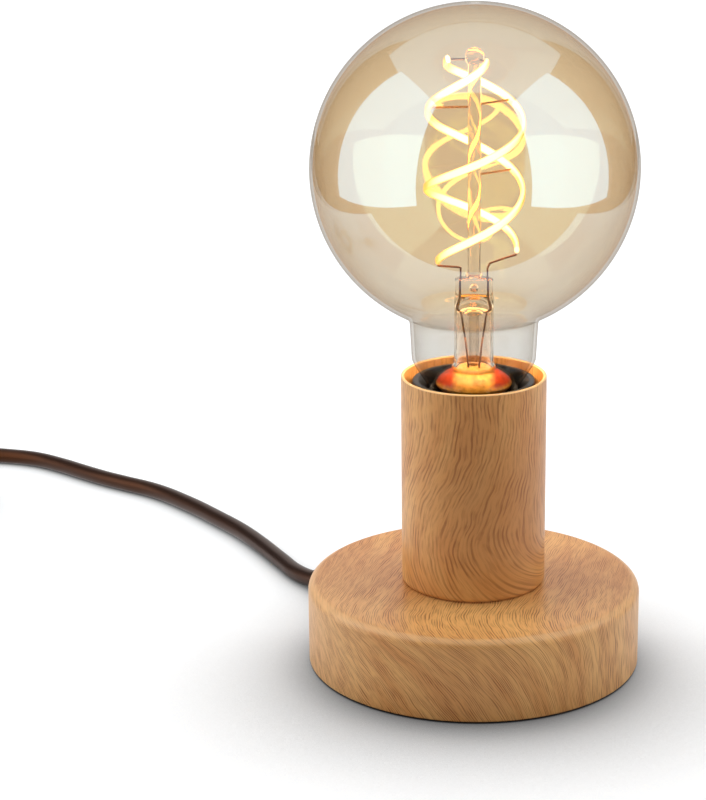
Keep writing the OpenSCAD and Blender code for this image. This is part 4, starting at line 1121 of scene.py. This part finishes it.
class LAMP_OT_cap(Operator):
    """Rolls the screw cap and dresses its foot"""

    bl_idname = "lamp.cap"
    bl_label = "Screw cap"

    def execute(self, context):
        nickel = plated("Nickel-plated brass", "#CFC9BC", "#B9B2A3", 0.25)
        segments, pitch = 72, 3.629
        low_z = BULB_LOW / MM
        start, end = low_z + 6, low_z + 20.5
        rows = [(low_z + 3.6, 9.6, 0), (low_z + 3.6, 10.1, 0), (start, 12.25, 0)]
        z = start + 1.2
        while z < end:
            rows.append((z, 12.7, 0.45))
            z += pitch / 12
        rows += [
            (end + 1.6, 13.1, 0),
            (CAP_TOP / MM - 0.2, 13.1, 0),
            (CAP_TOP / MM, 12.9, 0),
            (CAP_TOP / MM, 11.75, 0),
            (start + 0.6, 11.75, 0),
        ]
        verts = []
        for z, r, wave in rows:
            for i in range(segments):
                a = 2 * math.pi * i / segments
                q = r + wave * math.cos(2 * math.pi * z / pitch - a)
                verts.append((q * math.cos(a) * MM, q * math.sin(a) * MM, z * MM))
        faces = ring_faces(len(rows), segments)
        mesh_object("cap_shell", verts, faces, "bulb", ["screw_cap"], [nickel])
        dress(["cap_contact", "plug_pins"], nickel)
        dress(["cap_insulator"], moulded("Black glass insulator", "#0F0F12", "#17171A", 0.12))
        return {"FINISHED"}


class LAMP_OT_switch(Operator):
    """Finishes the cord switch, the plug and the tie"""

    bl_idname = "lamp.switch"
    bl_label = "Switch and plug"

    def execute(self, context):
        nylon = moulded("Spark-eroded black nylon", "#1A1A1B", "#212122", 0.5, 0.45, 0.05)
        dress(["switch_bottom", "switch_top"], nylon)
        dress(["switch_rocker"], moulded("Polished black nylon", "#151516", "#1B1B1C", 0.25))
        dress(["plug_body"], moulded("Moulded PVC plug", "#1B1715", "#231D1A", 0.42, 0.5, 0.04))
        dress(["cord_tie"], woven_tie())
        return {"FINISHED"}


class LAMP_OT_stage(Operator):
    """Sets the pale table, the lamps, their cloths and the white surroundings"""

    bl_idname = "lamp.stage"
    bl_label = "Stage"

    def execute(self, context):
        scene = context.scene
        scene.view_settings.view_transform = "Standard"
        scene.cycles.transparent_max_bounces = 32
        scene.cycles.max_bounces = 16
        scene.cycles.transmission_bounces = 16
        self.world(scene)
        self.table(scene)
        # Each lamp: its middle, the point it faces, width, height and brightness
        for name, place, aim, width, height, bright in (
            ("left_lamp", (-0.54, 0.18, 0.30), (0, 0, 0.06), 0.50, 0.60, 2.85),
            ("right_lamp", (0.54, 0.18, 0.30), (0, 0, 0.06), 0.46, 0.60, 2.2),
            ("top_lamp", (0, 0.28, 0.86), (0, 0, 0), 1.1, 0.8, 1.85),
            ("front_lamp", (0, -0.85, 0.25), (0, 0, 0.08), 1.0, 0.5, 1.2),
        ):
            energy = bright * math.pi * width * height
            self.lamp(scene, name, place, aim, width, height, energy)
        # The light that the strands send down the neck, into the sleeve
        place, across = (0, 0, CAP_TOP + 16 * MM), 22 * MM
        glow = self.lamp(scene, "neck_glow", place, (0, 0, 0), across, across, 0.036)
        glow.data.shape = "DISK"
        glow.data.color = (1.0, 0.76, 0.50)
        glow.visible_transmission = False
        # Each soft box's cloth, which shows only in gloss: the same, and how bright it shows
        for name, place, aim, width, height, bright in (
            ("left_cloth", (-0.44, -0.135, 0.42), (0, 0, 0.42), 0.62, 0.82, 2.6),
            ("right_cloth", (0.43, -0.15, 0.42), (0, 0, 0.42), 0.58, 0.82, 2.6),
            ("top_cloth", (0, 0.12, 0.95), (0, 0.02, 0), 1.3, 1.1, 1.25),
        ):
            cloth = bpy.data.objects.new(name, self.cloth(name, width, height, bright))
            self.aim(scene, cloth, place, aim)
            self.only_in_gloss(cloth)
        self.dark_room(scene)
        return {"FINISHED"}

    def lamp(self, scene, name, place, aim, width, height, energy):
        """A lamp at its place, turned to a point, that no gloss shows."""
        data = bpy.data.lights.new(name, "AREA")
        data.shape = "RECTANGLE"
        data.size, data.size_y = width, height
        data.energy = energy
        lamp = bpy.data.objects.new(name, data)
        self.aim(scene, lamp, place, aim)
        lamp.visible_glossy = False
        return lamp

    def aim(self, scene, thing, place, aim):
        """Stands a lamp or a cloth at its place, turned to a point and hidden from the camera."""
        thing.location = place
        thing.rotation_euler = (Vector(aim) - Vector(place)).to_track_quat("-Z", "Y").to_euler()
        thing.visible_camera = False
        scene.collection.objects.link(thing)

    def only_in_gloss(self, thing):
        """Shows a piece of the studio in gloss and nowhere else."""
        thing.visible_camera = False
        thing.visible_diffuse = False
        thing.visible_transmission = False
        thing.visible_shadow = False

    def dark_room(self, scene):
        """Dark walls, ceiling and floor round the lit table, open towards the white behind."""
        radius, height, opening = 1.4, 1.6, 32
        count = 60
        first, last = math.radians(90 + opening), math.radians(450 - opening)
        verts, faces = [], []
        for i in range(count + 1):
            a = first + (last - first) * i / count
            x, y = radius * math.cos(a), radius * math.sin(a)
            verts += [(x, y, -0.1), (x, y, height)]
        faces += [(2 * i, 2 * i + 2, 2 * i + 3, 2 * i + 1) for i in range(count)]
        # The ceiling covers the opening too
        start = len(verts)
        verts += [
            (radius * x, radius * y, height) for x, y in ((-1, -1), (1, -1), (1, 1), (-1, 1))
        ]
        faces.append((start, start + 1, start + 2, start + 3))
        # Floor round the lit part of the table: half its width and its front
        side, front, lift = 0.385, -0.10, 0.0015
        for x0, x1, y0, y1 in (
            (-radius, radius, -radius, front),
            (-radius, -side, front, radius),
            (side, radius, front, radius),
        ):
            start = len(verts)
            verts += [(x0, y0, lift), (x1, y0, lift), (x1, y1, lift), (x0, y1, lift)]
            faces.append((start, start + 1, start + 2, start + 3))
        mesh = bpy.data.meshes.new("dark_room")
        mesh.from_pydata(verts, [], faces)
        mat, tree = empty_material("Dark studio wall")
        show(tree, add(tree, "Emission", {"Color": to_linear("#595959")}).outputs[0])
        mesh.materials.append(mat)
        room = bpy.data.objects.new("dark_room", mesh)
        scene.collection.objects.link(room)
        self.only_in_gloss(room)

    def cloth(self, name, width, height, bright):
        """Front of a soft box."""
        mesh = bpy.data.meshes.new(name)
        w, h = width / 2, height / 2
        mesh.from_pydata([(-w, -h, 0), (w, -h, 0), (w, h, 0), (-w, h, 0)], [], [(0, 1, 2, 3)])
        mat, tree = empty_material("Soft box cloth")
        mirrored = add(tree, "LightPath").outputs["Is Glossy Ray"]
        level = add(tree, "Math", {0: mirrored, 1: bright}, operation="MULTIPLY").outputs[0]
        show(tree, add(tree, "Emission", {"Strength": level}).outputs[0])
        mesh.materials.append(mat)
        return mesh

    def studio_seen(self, tree, path):
        """1 on rays that show the studio: to the camera, in gloss and through glass."""
        seen = path["Is Camera Ray"]
        for ray in ("Is Glossy Ray", "Is Transmission Ray"):
            seen = add(tree, "Math", {0: seen, 1: path[ray]}, operation="MAXIMUM").outputs[0]
        return seen

    def world(self, scene):
        """White to the camera, in gloss and through glass; a softer grey on the object."""
        world = bpy.data.worlds.new("studio")
        scene.world = world
        world.use_nodes = True
        tree = world.node_tree
        tree.nodes.clear()
        seen = self.studio_seen(tree, add(tree, "LightPath").outputs)
        strength = add(tree, "MapRange", {"Value": seen, "To Min": 0.20, "To Max": 1.0})
        white = {"Color": to_linear("#FFFFFF"), "Strength": strength.outputs["Result"]}
        add(tree, "OutputWorld", {"Surface": add(tree, "Background", white).outputs[0]})

    def table(self, scene):
        """A round table that melts into the white surroundings and keeps the lamp's shadow,
        deepened by painted shadow.
        """
        verts = [(0, 0, 0)]
        rings = (0.1, 0.25, 0.5, 1.0, 2.0)
        count = 64
        for r in rings:
            verts += [
                (r * math.cos(2 * math.pi * i / count), r * math.sin(2 * math.pi * i / count), 0)
                for i in range(count)
            ]
        faces = [(0, 1 + i, 1 + (i + 1) % count) for i in range(count)]
        for k in range(len(rings) - 1):
            a, b = 1 + k * count, 1 + (k + 1) * count
            faces += [
                (a + i, b + i, b + (i + 1) % count, a + (i + 1) % count) for i in range(count)
            ]
        mesh = bpy.data.meshes.new("table_top")
        mesh.from_pydata(verts, [], faces)
        table = bpy.data.objects.new("table_top", mesh)
        scene.collection.objects.link(table)
        mat, tree = empty_material("Matt white table")
        path = add(tree, "LightPath").outputs
        seen = self.studio_seen(tree, path)
        place = add(tree, "TexCoord").outputs["Object"]
        reach = add(tree, "VectorMath", {0: place}, operation="LENGTH").outputs["Value"]
        far = {"Value": reach, "From Min": 0.05, "From Max": 1.1, "To Min": 0.66, "To Max": 1.02}
        far = add(tree, "MapRange", far, interpolation_type="SMOOTHSTEP").outputs["Result"]
        # Painted shadow: ambient occlusion darkens the table's glow and colour near the lamp
        ao_painted_shadow = add(tree, "AmbientOcclusion", {"Distance": 0.095}, samples=12).outputs["AO"]
        # The globe mirrors the table without the painted shadow round the wound cord
        beyond = add(tree, "MapRange", {"Value": reach, "From Min": 0.09, "From Max": 0.13})
        beyond = {0: beyond.outputs["Result"], 1: path["Is Glossy Ray"]}
        beyond = add(tree, "Math", beyond, operation="MULTIPLY").outputs[0]
        ao_painted_shadow = add(tree, "Math", {0: ao_painted_shadow, 1: beyond}, operation="MAXIMUM").outputs[0]
        # The painted shadow is deeper in front of the lamp than behind it
        depth = add(tree, "SeparateXYZ", {0: place}).outputs["Y"]
        power = {"Value": depth, "From Min": -0.07, "From Max": 0.02, "To Min": 3.4, "To Max": 1.1}
        power = add(tree, "MapRange", power).outputs["Result"]
        ao_painted_shadow = add(tree, "Math", {0: ao_painted_shadow, 1: power}, operation="POWER").outputs[0]
        lift = seen
        for share in (far, ao_painted_shadow):
            lift = add(tree, "Math", {0: lift, 1: share}, operation="MULTIPLY").outputs[0]
        # Painted shadow in the colour too: near black where the ambient occlusion is low
        paint = {0: ao_painted_shadow, 6: to_linear("#272727"), 7: to_linear("#E7EBEF")}
        paint = add(tree, "Mix", paint, data_type="RGBA").outputs[2]
        half = add(tree, "MapRange", {"Value": seen, "To Min": 1.0, "To Max": 0.5})
        paint = {0: paint, 3: half.outputs["Result"]}
        paint = add(tree, "VectorMath", paint, operation="SCALE").outputs[0]
        matt = {"Base Color": paint, "Roughness": 0.9, "Emission Color": to_linear("#FFFFFF")}
        matt["Emission Strength"] = lift
        show(tree, add(tree, "BsdfPrincipled", matt).outputs[0])
        mesh.materials.append(mat)


class LAMP_PT_panel(Panel):
    """Lists the lamp's pieces"""

    bl_idname = "LAMP_PT_panel"
    bl_label = "Bare bulb table lamp"
    bl_space_type = "VIEW_3D"
    bl_region_type = "UI"
    bl_category = "Lamp"

    def draw(self, context):
        layout = self.layout
        for group in (context.scene.lamp_sizes, context.scene.lamp_colours):
            for name in group.__annotations__:
                layout.prop(group, name)
        for operator in OPERATORS:
            layout.operator(operator.bl_idname)


OPERATORS = (
    LAMP_OT_camera,
    LAMP_OT_cords,
    LAMP_OT_base,
    LAMP_OT_sleeve,
    LAMP_OT_fixing,
    LAMP_OT_holder,
    LAMP_OT_globe,
    LAMP_OT_filament,
    LAMP_OT_cap,
    LAMP_OT_switch,
    LAMP_OT_stage,
)
CLASSES = (LampSizes, LampColours, *OPERATORS, LAMP_PT_panel)


def register():
    for c in CLASSES:
        bpy.utils.register_class(c)
    Scene.lamp_sizes = PointerProperty(type=LampSizes)
    Scene.lamp_colours = PointerProperty(type=LampColours)


def unregister():
    del Scene.lamp_sizes
    del Scene.lamp_colours
    for c in reversed(CLASSES):
        bpy.utils.unregister_class(c)


def main():
    register()
    for operator in OPERATORS:
        group, name = operator.bl_idname.split(".")
        getattr(getattr(bpy.ops, group), name)()


if __name__ == "__main__":
    main()
